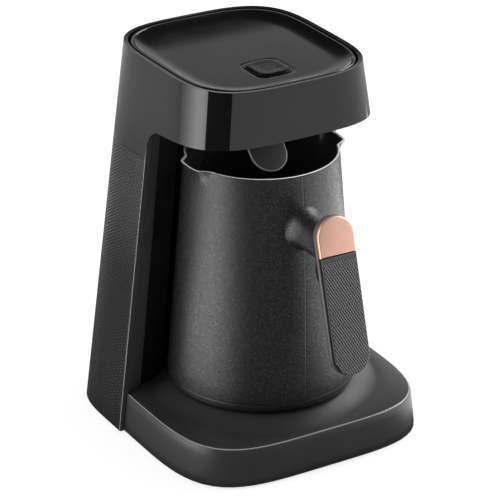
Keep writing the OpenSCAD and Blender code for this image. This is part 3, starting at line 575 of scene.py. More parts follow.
def linerRadius(z):
    return pot["footRadius"] + tower["linerGap"] - pot["taper"] * (z - 23.6)

def underHead(points):
    return [Vector((p.x, p.y, undersideAt(p.y) + tower["underLift"])) for p in points]

def wingOutline(z, side):
    a, b = halfWidth(z) - body["wall"] - tower["fitGap"], wingInner(z)
    y0, y1, t = bay["towerFront"] + 0.8, bay["towerFront"] + tower["wingFall"], tower["wingThick"]
    x, y = (a + b) / 2, (y0 + y1) / 2
    points = [(b, y1), (x, y), (a, y0), (a, y0 + t), (x, y + t), (b, y1 + t)]
    return [Vector((side * x, y, z)) for x, y in points]

def makeWing(side, name, node, finish):
    z0, z1 = tower["baseTop"], bay["headFront"] - 4
    rings = [wingOutline(z0 + (z1 - z0) * k / 10, side) for k in range(10)]
    rings.append(underHead(wingOutline(z1, side)))
    loftedPiece(rings, "caps", name, "machine", [node], "wing_grey", [finish], modifiers=[softEdges(0.4, 50)])

def linerOutline(z):
    def curve(grow):
        r, x, y = linerRadius(z) + grow, wingInner(z) - 0.2, bay["towerFront"] + tower["wingFall"] + 0.1 + grow
        start = radians(tower["linerStart"])
        first = (r * cos(start), pot["y"] + r * sin(start))
        lead = [(x + (first[0] - x) * i / 5, y + (first[1] - y) * i / 5) for i in range(5)]
        steps = 48
        turns = [start + (pi - 2 * start) * i / steps for i in range(steps + 1)]
        arc = [(r * cos(turn), pot["y"] + r * sin(turn)) for turn in turns]
        return lead + arc + [(-px, py) for px, py in reversed(lead)]

    points = list(reversed(curve(0))) + curve(tower["linerThick"])
    return [Vector((x, y, z)) for x, y in points]

def makeLiner(finish):
    z0, z1 = tower["baseTop"], bay["headFront"] - 4
    rings = [linerOutline(z0 + (z1 - z0) * k / 14) for k in range(14)]
    rings.append(underHead(linerOutline(z1)))
    loftedPiece(rings, "caps", "bayLiner", "machine", ["bay_liner"], "dark_trim", [finish], sharp=30)

wingMatte = grainPlastic("matteWing", (0.05, 0.05, 0.051), 0.5, 2200, 0.00002)
makeWing(1, "rightWing", "right_wing", wingMatte)
makeWing(-1, "leftWing", "left_wing", wingMatte)
makeLiner(glossPlastic("deepLiner", (0.0035, 0.0035, 0.0035), 0.3, Specular_IOR_Level=0.12))
print("wings and liner made")

# Base

base = {
    "top": 23.6,
    "depth": 161.1,
    "flare": 1.3,
    "squareness": 4.2,
    "wall": 2.4,
    "edge": 0.8,
    "hole": 24.3,
    "seatTop": 29.6,
    "seatEdge": 47.5,  # where the raised seat starts to slope down
    "seatRun": 19.0,
    "seatInner": 44.0,
    "colour": (0.014, 0.014, 0.0143),
    # painted light: the sides are a lighter copy of the top's colour
    "litSideColour": (0.019, 0.019, 0.0194),
    "roughness": 0.4,
}

def baseOutline(z, inset):
    half = halfWidth(z) - body["wall"] - tower["fitGap"] - inset
    front = body["back"] - base["depth"] - base["flare"] * (base["top"] - z) / base["top"] + inset
    back = backAt(z) - body["wall"] - tower["fitGap"] - inset
    r = min(body["corner"] - body["wall"] - inset, half - 1)
    long = bay["towerFront"] - 6 - front
    quarters = [(x, back - r, r, r, turn, body["squareness"]) for x, turn in ((half - r, 0), (r - half, 90))]
    quarters += [(0, front + long, half, long, turn, base["squareness"]) for turn in (180, 270)]
    points = [Vector((x, y, z)) for q in quarters for x, y in cornerPoints(*q)]
    del points[3 * body["cornerSteps"] + 3]  # the two front quarters meet in one point
    return points

def ringOnCircle(guide, radius, z):
    return [onCircle(pot["y"], radius, atan2(p.y - pot["y"], p.x), z) for p in guide]

# A ring round the seat, kept in front of the tower and inside the liner behind it
def seatRing(guide, radius, z):
    points = ringOnCircle(guide, radius, z)
    wall = tower["linerGap"] + pot["footRadius"] - 1.2
    for p in points:
        away = Vector((p.x, p.y - pot["y"]))
        if away.length > wall and p.y > bay["towerFront"]:
            side = sqrt(max(0, radius * radius - (bay["towerFront"] - pot["y"]) ** 2))
            if abs(p.x) > side * 0.9:
                p.y = bay["towerFront"]
                p.x = copysign(min(abs(p.x), side), p.x)
    return points

def makeBase(finish, side):
    edge, top = base["edge"], base["top"]
    levels = [(body["lift"], 0), (6, 0), (12, 0), (18, 0), (top - edge - 0.15, 0), (top - edge + 0.05, 0.06)]
    levels += [(top - edge / 2, edge / 2), (top - 0.06, edge - 0.05), (top, edge + 0.15)]
    rings = [baseOutline(z, inset) for z, inset in levels]
    rings.append(seatRing(rings[0], base["seatEdge"] + base["seatRun"] + 1.5, top))
    for k in range(17):
        t = k / 16
        rise = (base["seatTop"] - top) * (0.45 * t + 0.55 * t * t * (3 - 2 * t))
        rings.append(seatRing(rings[0], base["seatEdge"] + base["seatRun"] * (1 - t), top + rise))
    rings.append(seatRing(rings[0], base["seatInner"], base["seatTop"]))
    rings += [ringOnCircle(rings[0], radius, top) for radius in (base["seatInner"], base["hole"])]
    bm = bmesh.new()
    place = loft(bm, rings, ends="open")
    turnOutward(bm)
    for face in bm.faces:
        spots = [place[v][1] for v in face.verts if v in place]
        # the bevel along the top edge gets the painted edge highlight
        if min(spots) >= 6 and max(spots) <= 8:
            face.material_index = 1
        # the sides get the lighter copy of the finish, as painted light
        if max(spots) <= 6:
            face.material_index = 2
    details = "baseBody", "machine", ["base_body"], "satin_black", [finish, edgeHighlight, side]
    finishPiece(bm, *details, sharp=60, modifiers=[thicken(base["wall"], False)])

baseGrain = base["roughness"], 1500, 0.00005, 0.25
satinBase = grainPlastic("satinBase", base["colour"], *baseGrain)
makeBase(satinBase, grainPlastic("satinBaseLitSide", base["litSideColour"], *baseGrain))
print("base made")

# Pot

potFinish = {
    "colour": (0.006, 0.006, 0.0062),
    "roughness": 0.34,
    "grain": 1500,
    "cells": 1250,
    "depth": 0.00035,
    "seamHalf": 0.00022,
}

def wallRadius(z):
    return pot["footRadius"] - pot["taper"] * (z - pot["foot"])

# Angles round the pot in degrees, closer together at the two lips
def potAngles():
    half, fine = pot["lipHalf"], pot["lipSteps"]
    lipAngles = [half * sin(pi / 2 * k / fine) for k in range(-fine, fine + 1)]
    plain = (pot["steps"] - 2 * len(lipAngles)) // 2
    right, left = pot["lipTurns"]
    angles = []
    for start, stop in ((right, 180 + left), (180 + left, 360 + right)):
        angles += [start + a for a in lipAngles]
        angles += [start + half + (stop - start - 2 * half) * (k + 1) / (plain + 1) for k in range(plain)]
    return angles

# How far a lip reaches out at an angle in degrees
def lipReach(angle):
    right, left = pot["lipTurns"]
    toRight, toLeft = abs((angle - right + 180) % 360 - 180), abs((angle - left) % 360 - 180)
    away, most = min(zip((toRight, toLeft), pot["lipOut"]))
    t = max(0, min(1, (pot["lipHalf"] - away) / (pot["lipHalf"] - pot["lipFlat"])))
    return most * t * t * (3 - 2 * t)

def potRing(z, inset):
    lipHeight = pot["rim"] - pot["lip"]
    up = max(0, min(1, (z - pot["lip"]) / lipHeight)) ** pot["lipPower"]
    outer = []
    for angle in potAngles():
        r = wallRadius(z) + up * lipReach(angle)
        outer.append(onCircle(pot["y"], r, radians(angle), z))
    count = len(outer)
    points = []
    for i, p in enumerate(outer):
        along = outer[(i + 1) % count] - outer[i - 1]
        points.append(p - Vector((along.y, -along.x, 0)).normalized() * inset)
    return points

def potCircle(radius, z):
    return [onCircle(pot["y"], radius, radians(a), z) for a in potAngles()]

def makePot(coat, seamed, inside, edge):
    t, rim, foot, floor = pot["wall"], pot["rim"], pot["foot"], pot["floor"]
    under = floor - t
    rings = [potCircle(r, under) for r in (2, 20, wallRadius(under) - t - 0.6)]
    rings += [potRing(under - 1.2, t), potRing(foot + 0.5, t), potRing(foot + 0.12, t - 0.15), potRing(foot, t - 0.5)]
    rings += [potRing(foot, 0.2), potRing(foot + 0.05, 0.06), potRing(foot + 0.3, 0)]
    outerStart = len(rings)
    rings += [potRing(foot + 0.3 + (pot["lip"] - foot - 0.3) * k / 12, 0) for k in range(1, 13)]
    rings += [potRing(pot["lip"] + (rim - 0.4 - pot["lip"]) * k / 12, 0) for k in range(1, 13)]
    rings += [potRing(rim - 0.2, 0.05), potRing(rim - 0.06, 0.2), potRing(rim, 0.5), potRing(rim, 1.0)]
    rings += [potRing(rim - 0.06, t - 0.2), potRing(rim - 0.2, t - 0.05)]
    innerStart = len(rings)
    rings += [potRing(rim - 0.4 - (rim - 0.4 - pot["lip"]) * k / 12, t) for k in range(13)]
    rings += [potRing(pot["lip"] - (pot["lip"] - floor - 6) * k / 8, t) for k in range(1, 9)]
    for i in range(1, 8):
        a = pi / 2 * i / 7
        rings.append(potRing(floor + 6 * (1 - sin(a)), t + 6 * (1 - cos(a))))
    rings += [potCircle(r, floor) for r in (25, 3)]
    bm = bmesh.new()
    place = loft(bm, rings)
    outward(bm)
    for face in bm.faces:
        spots = [place[v][1] for v in face.verts if v in place]
        # the rounded rim gets the pale painted highlight
        if min(spots) >= innerStart - 5 and max(spots) <= innerStart:
            face.material_index = 3
        # the inside gets a lighter copy of the coat, as painted light
        elif min(spots) >= innerStart - 3:
            face.material_index = 2
        elif min(spots) >= outerStart - 1:
            face.material_index = 1
    makeBoss(bm)
    finishPiece(bm, "potBody", "pot", ["pot_body"], "pot_coating", [coat, seamed, inside, edge], sharp=50)

handle = {
    "top": 155.1,
    "length": 87.8,
    "width": 22.2,
    "cap": 21.0,
    "lean": radians(15.9),
    "pad": 2.6,
    "frame": 4.0,
    "neckRadius": 9.2,
    "neckZ": 135.7,
    "bossLength": 11.0,
    "bossFlare": 3.9,
    "bossLift": 1.2,
    "webHeight": 10.0,
    "webLow": 15.0,
    "webUp": 4.0,
    "webSide": 1.2,
    "webPower": 2.2,
}
handle["topY"] = -94.25 + handle["length"] * sin(handle["lean"])
handle["potFront"] = pot["y"] - wallRadius(handle["neckZ"])

# Trumpet on the pot's front that carries the handle
def makeBoss(bm):
    r0, flare, length = handle["neckRadius"], handle["bossFlare"], handle["bossLength"]
    end = handle["potFront"] - length
    count, steps = 96, 16
    rings = []
    for k in range(steps + 1):
        a = pi / 2 * k / steps
        radius = r0 + flare * (1 - sin(a))
        ahead = length * 0.93 * (1 - cos(a)) - 0.15
        ring = []
        for i in range(count):
            angle = 2 * pi * i / count
            middle = handle["neckZ"] + handle["bossLift"] * (1 - k / steps)
            x, z = radius * cos(angle), middle + radius * sin(angle)
            wall = pot["y"] - sqrt(max(0, wallRadius(z) ** 2 - x * x))
            level = wall + (handle["potFront"] - wall) * (k / steps) ** 2
            ring.append(Vector((x, level - ahead, z)))
        rings.append(ring)
    first = [Vector((p.x, p.y + 0.9, p.z)) for p in rings[0]]
    turns = [2 * pi * i / count for i in range(count)]
    last = [Vector((r0 * cos(turn), end, handle["neckZ"] + r0 * sin(turn))) for turn in turns]
    before = set(bm.faces)
    loft(bm, [first] + rings + [last])
    bossFaces = [f for f in bm.faces if f not in before]
    bmesh.ops.recalc_face_normals(bm, faces=bossFaces)

def potMaterials():
    settings = potFinish
    made = []
    for name, seam in (("potCoat", False), ("potCoatSeamed", True)):
        mat = newMaterial(name, settings["colour"], settings["roughness"])
        fine = noise(mat, settings["grain"], 3.0, 0.65)
        speck = noise(mat, settings["grain"] * 2.2, 1.0, 0.5)
        cells = addNode(mat, "TexVoronoi", {"Vector": position(mat), "Scale": settings["cells"]}).outputs["Color"]
        cell = addNode(mat, "SeparateColor", {0: cells}).outputs[0]
        grain = plus(mat, times(mat, fine, 0.5), times(mat, speck, 0.2))
        grain = plus(mat, grain, times(mat, cell, 0.3))
        spread = remap(mat, grain, 0.3, 0.7, 0.0, 1.0)
        colour = tint(mat, spread, [c * 0.05 for c in settings["colour"]], [c * 2.3 for c in settings["colour"]])
        height = grain
        if seam:
            x, y, z = axes(mat)
            lean = remap(mat, z, pot["foot"] * mm, 0.125, pot["seamFoot"] * mm, pot["seamTop"] * mm)
            off = calc(mat, "ABSOLUTE", calc(mat, "SUBTRACT", x, lean))
            line = remap(mat, off, settings["seamHalf"], settings["seamHalf"] * 2.2, 1.0, 0.0, True)
            front = calc(mat, "LESS_THAN", y, pot["y"] * mm)
            line = times(mat, line, front)
            colour = tint(mat, times(mat, line, 0.75), colour, (0.004, 0.004, 0.004))
            height = calc(mat, "SUBTRACT", grain, times(mat, line, 1.5))
        plug(mat, colour, "Base Color")
        rough = settings["roughness"]
        plug(mat, remap(mat, grain, 0.35, 0.65, rough + 0.12, rough - 0.1), "Roughness")
        plug(mat, bump(mat, height, settings["depth"], 0.7), "Normal")
        made.append(mat)
    # painted light: the inside is a lighter copy of the coat, brightening its shade
    made.append(glossPlastic("potInsideLit", (0.03, 0.03, 0.03), 0.3))
    # painted highlight: the rim is a near-white grey
    made.append(glossPlastic("paintedRimHighlight", (0.8, 0.8, 0.8), 0.2))
    return made

def makeCup(finish):
    foot, under, wide = pot["foot"], pot["under"], pot["footRadius"]
    top = foot - 0.25
    profile = [(38.1, under), (wide - 1.9, under), (wide - 1.2, under + 0.1), (wide - 0.7, under + 0.45)]
    profile += [(wide - 0.4, under + 1.0), (wide - 0.2, under + 2.0), (wide - 0.08, under + 3.5)]
    profile += [(wide - 0.02, top - 0.15), (wide - 0.07, top - 0.04), (wide - 0.2, top)]
    profile += [(wide - 3.5, top), (wide - 3.5, foot + 4.5), (wide - 5.5, foot + 4.5)]
    profile += [(wide - 5.5, under + 5), (16.2, under + 5), (16.2, under + 3), (38.1, under + 3)]
    rings = [circlePoints(pot["y"], r, z, 144) for r, z in profile]
    loftedPiece(rings, "loop", "potBaseCup", "pot", ["pot_base_cup"], "inner_black", [finish])

makePot(*potMaterials())
makeCup(grainPlastic("satinCup", (0.006, 0.006, 0.0062), 0.36, 1500, 0.00004, 0.5))
print("pot made")

# Handle

# From the paddle's own frame (across, depth from its front, down from its top) to the machine's
def onHandle(x, depth, down):
    c, s = cos(handle["lean"]), sin(handle["lean"])
    return Vector((x, handle["topY"] + depth * c - down * s, handle["top"] - depth * s - down * c))

# Long rounded outline of the paddle between two distances from its top
def paddleOutline(start, stop, inset):
    r, long = handle["width"] / 2, handle["length"]
    points = []
    if start < r:
        points += halfTurn(inset - r, r)
    else:
        points += [(-(r - inset), start + inset), (0, start + inset), (r - inset, start + inset)]
    if stop > long - r:
        points += halfTurn(r - inset, long - r)
    else:
        points += [(r - inset, stop - inset), (0, stop - inset), (-(r - inset), stop - inset)]
    return points

def slab(bm, start, stop, side, levels):
    rings = []
    for depth, inset in levels:
        rings.append([onHandle(x, depth, down) for x, down in paddleOutline(start, stop, side + inset)])
    return loft(bm, rings)

def makeFrame(finish, side):
    bm = bmesh.new()
    front, back = handle["pad"] + 0.05, handle["pad"] + handle["frame"]
    levels = [(front, 0.35), (front + 0.2, 0.08), (front + 0.5, 0), (back - 1.4, 0)]
    levels += [(back - 0.6, 0.25), (back - 0.15, 0.8), (back, 1.6)]
    place = slab(bm, 0, handle["length"], -0.4, levels)
    outward(bm)
    markSides(bm, place, 3)
    before = set(bm.faces)
    makeNeck(bm, back)
    bmesh.ops.recalc_face_normals(bm, faces=[f for f in bm.faces if f not in before])
    finishPiece(bm, "handleFrame", "pot", ["handle_frame"], "handle_grey", [finish, side], sharp=50)

# The neck leaves the pot's boss as a round bar and spreads out over the paddle's back
def makeNeck(bm, back):
    c, s = cos(handle["lean"]), sin(handle["lean"])
    r, count = handle["neckRadius"], 96
    drop = handle["top"] - handle["neckZ"]

    def slopedRing(height, t):
        depth = back + height
        middle = drop * c - (depth - drop * s) * s / c
        ring = []
        for i in range(count):
            angle = 2 * pi * i / count
            up = sin(angle)
            most = handle["webUp"] if up > 0 else handle["webLow"]
            spread = (handle["webSide"] + (most - handle["webSide"]) * abs(up) ** handle["webPower"]) * t
            ring.append(onHandle((r + spread) * cos(angle), depth, middle - (r / c + spread) * up))
        return ring

    steps = 14
    rings = [slopedRing(-0.8, 1.02)]
    for k in range(steps, -1, -1):
        a = pi / 2 * k / steps
        rings.append(slopedRing(handle["webHeight"] * (1 - sin(a)), 1 - cos(a)))
    end = handle["potFront"] - handle["bossLength"] - 0.05
    start = rings[-1]
    for share in (0.4, 0.8, 1.0):
        rings.append([Vector((p.x, p.y + (end - p.y) * share, p.z)) for p in start])
    loft(bm, rings)

def makePad(finish, side):
    bm = bmesh.new()
    levels = [(handle["pad"], 0.15), (handle["pad"] - 0.2, 0), (0.9, 0), (0.55, 0.03)]
    levels += [(0.25, 0.14), (0.05, 0.4), (0, 0.8)]
    place = slab(bm, handle["cap"] + 0.4, handle["length"], 0, levels)
    outward(bm)
    # the sides get the near-black painted shade
    markSides(bm, place, 3)
    finishPiece(bm, "gripPad", "pot", ["grip_pad"], "handle_grey", [finish, side])

def makeCap(finish):
    bm = bmesh.new()
    levels = [(handle["pad"], 0.15), (handle["pad"] - 0.2, 0), (0.65, 0), (0.3, 0.1), (0.08, 0.35), (0, 0.7)]
    slab(bm, 0, handle["cap"], 0, levels)
    outward(bm)
    finishPiece(bm, "copperCap", "pot", ["copper_cap"], "copper", [finish])

padFinish = {
    "colour": (0.05, 0.05, 0.0515),
    "roughness": 0.45,
    "waves": ((0.645, 0.35, 0.65), (-0.645, 0.35, 0.35)),  # cycles in a millimetre across and along, and weight
    "depth": 0.0012,
    "border": 0.8,
    "clearTop": 3.2,  # smooth band under the cap, in millimetres
}

def padMaterial():
    settings = padFinish
    mat = newMaterial("knurledPad", settings["colour"], settings["roughness"])
    inputs = {"Vector": position(mat), "Rotation": (handle["lean"], 0, 0)}
    turned = axes(mat, addNode(mat, "Mapping", inputs, vector_type="POINT").outputs[0])
    x, z = turned[0], turned[2]
    height = 0.0
    for across, along, weight in settings["waves"]:
        line = plus(mat, times(mat, x, across / mm), times(mat, z, along / mm))
        line = calc(mat, "SINE", times(mat, line, 2 * pi))
        height = plus(mat, height, times(mat, line, weight))
    dots = remap(mat, height, -0.45, 0.45, 0.0, 1.0, True)
    top = onHandle(0, 0, handle["cap"] + 0.4 + settings["clearTop"]) * mm
    edge = Matrix.Rotation(handle["lean"], 3, "X") @ top
    mask = remap(mat, z, edge.z + 0.0006, edge.z, 0.0, 1.0)
    side = calc(mat, "ABSOLUTE", x)
    border = (handle["width"] / 2 - settings["border"]) * mm
    mask = times(mat, mask, remap(mat, side, border + 0.0002, border, 0.0, 1.0))
    relief = times(mat, dots, mask)
    flat = [c * 0.8 for c in settings["colour"]]
    # painted shade in the knurl's hollows and painted highlight on its tops, following the relief
    knurl = tint(mat, dots, [c * 0.02 for c in settings["colour"]], [c * 2.2 for c in settings["colour"]])
    plug(mat, tint(mat, mask, flat, knurl), "Base Color")
    plug(mat, remap(mat, relief, 0.0, 1.0, settings["roughness"] + 0.05, settings["roughness"] - 0.05), "Roughness")
    plug(mat, bump(mat, relief, settings["depth"], 0.8), "Normal")
    return mat

def copperMaterial():
    mat = newMaterial("satinCopper", (0.74, 0.43, 0.33), 0.38, Metallic=0.75)
    fine = noise(mat, 2400, 2.0)
    plug(mat, remap(mat, fine, 0.3, 0.7, 0.34, 0.42), "Roughness")
    plug(mat, tint(mat, noise(mat, 60, 2.0), (0.71, 0.405, 0.305), (0.77, 0.455, 0.35)), "Base Color")
    plug(mat, bump(mat, fine, 0.00001, 0.5), "Normal")
    return mat

# painted shade: the frame's back and neck are a much darker copy of the grey its sides show
shadedSatinFrame = grainPlastic("shadedSatinFrame", (0.012, 0.012, 0.0125), 0.34, 1800, 0.00003)
makeFrame(shadedSatinFrame, grainPlastic("frameSide", (0.05, 0.05, 0.051), 0.4, 1800, 0.00003))
# painted shade: the pad's side walls are near black, standing for the shade in the gap round it
makePad(padMaterial(), glossPlastic("padSideShade", (0.002, 0.002, 0.002), 0.5, Specular_IOR_Level=0.1))
makeCap(copperMaterial())
print("handle made")

# Tongue under the head

tongue = {
    "width": 22.6,
    "tilt": radians(46),
    "tip": (0, -9.65, 158.7),
    "length": 42.5,
    "colour": (0.075, 0.075, 0.077),
}

def onTongue(x, along, rise):
    c, s = cos(tongue["tilt"]), sin(tongue["tilt"])
    tip = Vector(tongue["tip"])
    return tip + Vector((x, along * c - rise * s, along * s + rise * c))

def makeTongue(finish, edge):
    r = tongue["width"] / 2
    bm = bmesh.new()
    rings = []
    for rise, inset in ((0, 0.5), (0.08, 0.2), (0.3, 0), (1.1, 0), (1.32, 0.2), (1.4, 0.5)):
        rr = r - inset
        points = halfTurn(-rr, r) + [(rr, tongue["length"]), (-rr, tongue["length"])]
        rings.append([onTongue(x, along, rise) for x, along in points])
    place = loft(bm, rings)
    outward(bm)
    # the side band round the tongue gets the pale painted highlight
    for face in bm.faces:
        if len({place[v][1] for v in face.verts}) == 2:
            face.material_index = 1
    finishPiece(bm, "sensorTongue", "machine", ["sensor_tongue"], "tongue_grey", [finish, edge])

# painted highlight: the tongue's edges are a much paler grey than its face
makeTongue(glossPlastic("tongueSkin", tongue["colour"], 0.25), glossPlastic("tongueEdgeHighlight", (0.45, 0.45, 0.45), 0.3))
print("tongue made")

# Finishes of the carried-over pieces

blackPlastic = grainPlastic("mouldedBlack", (0.014, 0.014, 0.015), 0.5, 1600, 0.00004)
steel = brushedMetal("zincSteel", (0.55, 0.55, 0.56), 0.3)
castAluminium = brushedMetal("castAluminium", (0.62, 0.62, 0.62), 0.42)
goldBrass = brushedMetal("brightBrass", (0.72, 0.52, 0.24), 0.25)
boardGreen = grainPlastic("lacqueredBoard", (0.012, 0.09, 0.035), 0.28, 700, 0.00003, 0.3)
softRubber = grainPlastic("softRubber", (0.016, 0.016, 0.016), 0.62, 1400, 0.00006)
carried = {
    "head_underside": blackPlastic,
    "sensor_lens": glossPlastic("darkLens", (0.03, 0.006, 0.006), 0.06),
    "bottom_cover": blackPlastic,
    "coupler_socket": grainPlastic("couplerBlack", (0.012, 0.012, 0.013), 0.4, 1500, 0.00003),
    "coupler_pins": goldBrass,
    "pot_contacts": goldBrass,
    "pot_plug": blackPlastic,
    "feet": softRubber,
    "cord_gland": softRubber,
    "button_dome": softRubber,
    "pot_gasket": grainPlastic("redSilicone", (0.3, 0.04, 0.025), 0.5, 900, 0.00003),
    "heater_plate": castAluminium,
    "heat_sink": castAluminium,
    "heating_element": brushedMetal("elementSheath", (0.4, 0.37, 0.34), 0.45),
    "thermostat": brushedMetal("pressedSteel", (0.5, 0.49, 0.42), 0.35),
    "control_board": boardGreen,
    "sensor_board": boardGreen,
    "power_board": boardGreen,
    "transformer": brushedMetal("varnishedCore", (0.42, 0.33, 0.16), 0.5),
    "capacitor": glossPlastic("sleeveBlue", (0.02, 0.03, 0.14), 0.25),
    "relay": glossPlastic("relayCase", (0.02, 0.06, 0.22), 0.3),
    "terminal_block": grainPlastic("terminalGreen", (0.02, 0.12, 0.04), 0.45, 1200, 0.00003),
    "status_leds": glossPlastic("ledLens", (0.8, 0.8, 0.76), 0.2),
    "head_harness": grainPlastic("ribbonGrey", (0.1, 0.1, 0.1), 0.5, 1200, 0.00002),
    "coupler_wires": grainPlastic("wireJacket", (0.2, 0.04, 0.03), 0.45, 1200, 0.00002),
    "handle_screw": steel,
    "board_screws": steel,
    "cover_screws": steel,
    "cup_screws": steel,
    "chassis_screws": steel,
    "board_standoffs": steel,
}
for name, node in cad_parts.items():
    node.data.materials.clear()
    node.data.materials.append(carried.get(name, blackPlastic))
print("carried pieces finished")

# Stage, light and camera

camera = {
    "place": (-0.6654, -1.10305, 0.711),
    "yaw": 0.5342,  # radians from +Y towards +X
    "pitch": 0.4384,  # radians below the horizon
    "lens": 182.0,
    "shiftX": 0.0081,
}

def makeCamera():
    data = bpy.data.cameras.new("camera")
    data.lens = camera["lens"]
    data.sensor_width = 36
    data.shift_x = camera["shiftX"]
    eye = bpy.data.objects.new("camera", data)
    scene.collection.objects.link(eye)
    eye.location = camera["place"]
    eye.rotation_euler = Euler((pi / 2 - camera["pitch"], 0, -camera["yaw"]), "XYZ")
    scene.camera = eye

lights = {
    "top": {"place": (-0.15, -0.25, 1.5), "aim": (0, 0, 0.1), "size": (1.5, 1.5), "power": 14},
    "rightFill": {"place": (1.3, -0.7, 0.8), "aim": (0, 0, 0.12), "size": (0.9, 1.0), "power": 5},
    "back": {"place": (0.2, 1.4, 1.0), "aim": (0, 0, 0.12), "size": (1.2, 0.8), "power": 5},
}

unlit = ((0.0, 0.0), (1.0, 0.0))

# Cards that stand or hang between two points: their lower and upper edge, and their glow from end to end
cards = {
    "leftStrip": {
        "start": (-0.62, -0.09), "stop": (-0.585, 0.54), "low": 0, "high": 0.8,
        "glow": ((0.0, 4.2), (0.13, 5.0), (0.31, 5.2), (0.5, 3.6), (0.7, 2.0), (1.0, 0.5)),
    },
    "rightBox": {
        "start": (0.75, 0.35), "stop": (0.62, -0.5), "low": 0.27, "high": 0.85,
        "glow": ((0.0, 5.0), (0.5, 8.0), (1.0, 4.0)),
    },
    "backCard": {
        "start": (-0.1, 0.8), "stop": (0.9, 0.35), "low": 0, "high": 0.25,
        "glow": ((0.0, 1.0), (0.5, 2.2), (1.0, 2.8)),
    },
    "darkCard": {"start": (-0.615, -0.095), "stop": (-0.36, -0.62), "low": 0, "high": 0.5, "glow": unlit},
    "frontFlag": {"start": (-0.6, -0.85), "stop": (0.32, -1.0), "low": 0.12, "high": 0.9, "glow": unlit},
    "leftFlag": {"start": (-0.95, -0.2), "stop": (-0.6, -0.85), "low": 0.12, "high": 0.9, "glow": unlit},
}

# Bright patches that lie on the floor, seen only in reflections: corners and glow
patches = {
    "edgePatch": {"low": (0.086, -0.085), "high": (0.11, 0.04), "glow": 1.6},
    "nearPatch": {"low": (-0.42, -0.1), "high": (-0.14, -0.07), "glow": 3.5},
    "leftPatch": {"low": (-0.52, -0.07), "high": (-0.155, 0.14), "glow": 4.6},
    "rightPatch": {"low": (0.11, -0.36), "high": (0.7, 0.16), "glow": 2.9},
}

surroundings = {
    "ambient": 0.4,
    "white": 1.0,
    "overhead": 0.03,  # how bright reflections from straight above are
    "fadeFrom": 0.325,  # height of a direction where the studio starts to darken
    "fadeTo": 0.425,
    # painted shade: share of brightness the reflected floor keeps behind the machine
    "floorBehind": 0.68,
    "skyBehind": 0.6,
    "skyLeft": 0.3,
    "floorShare": 0.75,
    "mirrorShare": 0.92,
    "floorNear": 0.04,  # reflected brightness of the floor beside the machine, a painted shade round it
    "nearReach": 0.33,
    "farReach": 0.85,
}

def makeLight(name, settings):
    data = bpy.data.lights.new(name, "AREA")
    data.shape = "RECTANGLE"
    data.size, data.size_y = settings["size"]
    data.energy = settings["power"]
    lamp = bpy.data.objects.new(name, data)
    scene.collection.objects.link(lamp)
    lamp.location = settings["place"]
    lamp.rotation_euler = (Vector(settings["place"]) - Vector(settings["aim"])).to_track_quat("Z", "Y").to_euler()
    lamp.visible_glossy = False

def showOnly(mat, node):
    mat.node_tree.links.new(node.outputs[0], mat.node_tree.nodes["Material Output"].inputs[0])

# How much of the white surroundings a ray sees: all of it for the camera, metal and glass
def seenRays(owner):
    path = addNode(owner, "LightPath")
    camera, glossy, clear = (path.outputs[f"Is {kind} Ray"] for kind in ("Camera", "Glossy", "Transmission"))
    return camera, calc(owner, "MAXIMUM", glossy, clear)

def makeStagePiece(name, mat, bm):
    mesh = bpy.data.meshes.new(name)
    bm.to_mesh(mesh)
    bm.free()
    piece = bpy.data.objects.new(name, mesh)
    scene.collection.objects.link(piece)
    mesh.materials.append(mat)
    return piece

def makeFloor():
    settings = surroundings
    bm = bmesh.new()
    bmesh.ops.create_grid(bm, x_segments=1, y_segments=1, size=5)
    mat = newMaterial("paleFloor", (0.86, 0.86, 0.86), 0.9)
    shader = principled(mat)
    away = addNode(mat, "VectorMath", {0: position(mat)}, operation="LENGTH").outputs["Value"]
    # painted shade on the floor, seen in reflections: darker near the machine and behind it
    far = remap(mat, away, settings["nearReach"], settings["farReach"], settings["floorNear"], settings["white"], True)
    depth = axes(mat)[1]
    far = times(mat, far, remap(mat, depth, 0.05, 0.4, 1.0, settings["floorBehind"], True))
    camera, mirrored = seenRays(mat)
    strength = plus(mat, camera, times(mat, mirrored, far))
    white = addNode(mat, "Emission", {"Color": (1, 1, 1, 1), "Strength": strength})
    share = plus(mat, times(mat, camera, settings["floorShare"]), times(mat, mirrored, settings["mirrorShare"]))
    mixed = addNode(mat, "MixShader", {0: share, 1: shader.outputs[0], 2: white.outputs[0]})
    showOnly(mat, mixed)
    makeStagePiece("floor", mat, bm)

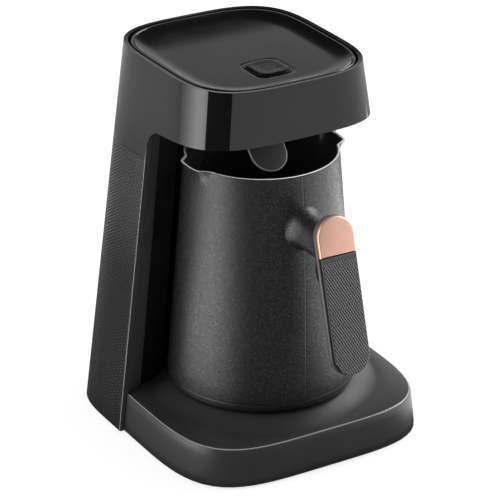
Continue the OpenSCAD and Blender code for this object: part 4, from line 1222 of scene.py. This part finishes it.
def makeCard(name, settings):
    start, stop = Vector(settings["start"]), Vector(settings["stop"])
    along, tall = stop - start, settings["high"] - settings["low"]
    bm = bmesh.new()
    bm.loops.layers.uv.new("UVMap")
    bmesh.ops.create_grid(bm, x_segments=1, y_segments=1, size=0.5, calc_uvs=True)
    bmesh.ops.scale(bm, vec=(along.length, tall, 1), verts=bm.verts)
    bmesh.ops.rotate(bm, matrix=Matrix.Rotation(pi / 2, 3, "X"), verts=bm.verts)
    bmesh.ops.rotate(bm, matrix=Matrix.Rotation(atan2(along.y, along.x), 3, "Z"), verts=bm.verts)
    middle = (*((start + stop) / 2), (settings["high"] + settings["low"]) / 2 + 0.001)
    bmesh.ops.translate(bm, vec=middle, verts=bm.verts)
    mat = newMaterial(name + "Cloth", (0.002, 0.002, 0.002), 0.9)
    peak = max(value for place, value in settings["glow"])
    if peak:
        ramp = addNode(mat, "ValToRGB", {0: axes(mat, addNode(mat, "UVMap").outputs[0])[0]})
        stops = ramp.color_ramp.elements
        while len(stops) < len(settings["glow"]):
            stops.new(0.5)
        for element, (place, value) in zip(stops, settings["glow"]):
            element.position = place
            element.color = (value / peak, value / peak, value / peak, 1)
        glow = addNode(mat, "Emission", {"Color": ramp.outputs[0], "Strength": peak})
        showOnly(mat, glow)
    card = makeStagePiece(name, mat, bm)
    card.visible_camera = False
    card.visible_shadow = False
    card.visible_diffuse = peak > 0

def makePatch(name, settings):
    low, high = Vector(settings["low"]), Vector(settings["high"])
    size = high - low
    bm = bmesh.new()
    bmesh.ops.create_grid(bm, x_segments=1, y_segments=1, size=0.5)
    bmesh.ops.scale(bm, vec=(size.x, size.y, 1), verts=bm.verts)
    bmesh.ops.translate(bm, vec=(*((low + high) / 2), 0.0005), verts=bm.verts)
    mat = newMaterial(name + "Glow", (0.5, 0.5, 0.5), 0.9)
    glow = addNode(mat, "Emission", {"Color": (1, 1, 1, 1), "Strength": settings["glow"]})
    showOnly(mat, glow)
    patch = makeStagePiece(name, mat, bm)
    patch.visible_camera = patch.visible_diffuse = patch.visible_shadow = False

def makeWorld():
    settings = surroundings
    world = bpy.data.worlds.new("studio")
    world.use_nodes = True
    scene.world = world
    direction = addNode(world, "TexCoord").outputs["Generated"]
    x, y, z = axes(world, direction)
    fade = remap(world, z, settings["fadeFrom"], settings["fadeTo"], settings["white"], settings["overhead"], True)
    behind = remap(world, y, 0.3, 0.7, 1.0, settings["skyBehind"], True)
    beside = remap(world, x, -0.3, 0.0, settings["skyLeft"], 1.0, True)
    fade = times(world, times(world, fade, behind), beside)
    camera, mirrored = seenRays(world)
    hidden = calc(world, "SUBTRACT", 1.0, calc(world, "MAXIMUM", camera, mirrored))
    strength = plus(world, camera, times(world, mirrored, fade))
    strength = plus(world, strength, times(world, hidden, settings["ambient"]))
    sky = world.node_tree.nodes["Background"]
    sky.inputs[0].default_value = (1, 1, 1, 1)
    world.node_tree.links.new(strength, sky.inputs[1])

makeCamera()
for name, settings in lights.items():
    makeLight(name, settings)
makeFloor()
for name, settings in cards.items():
    makeCard(name, settings)
for name, settings in patches.items():
    makePatch(name, settings)
makeWorld()
scene.view_settings.view_transform = "Standard"
print("stage set")
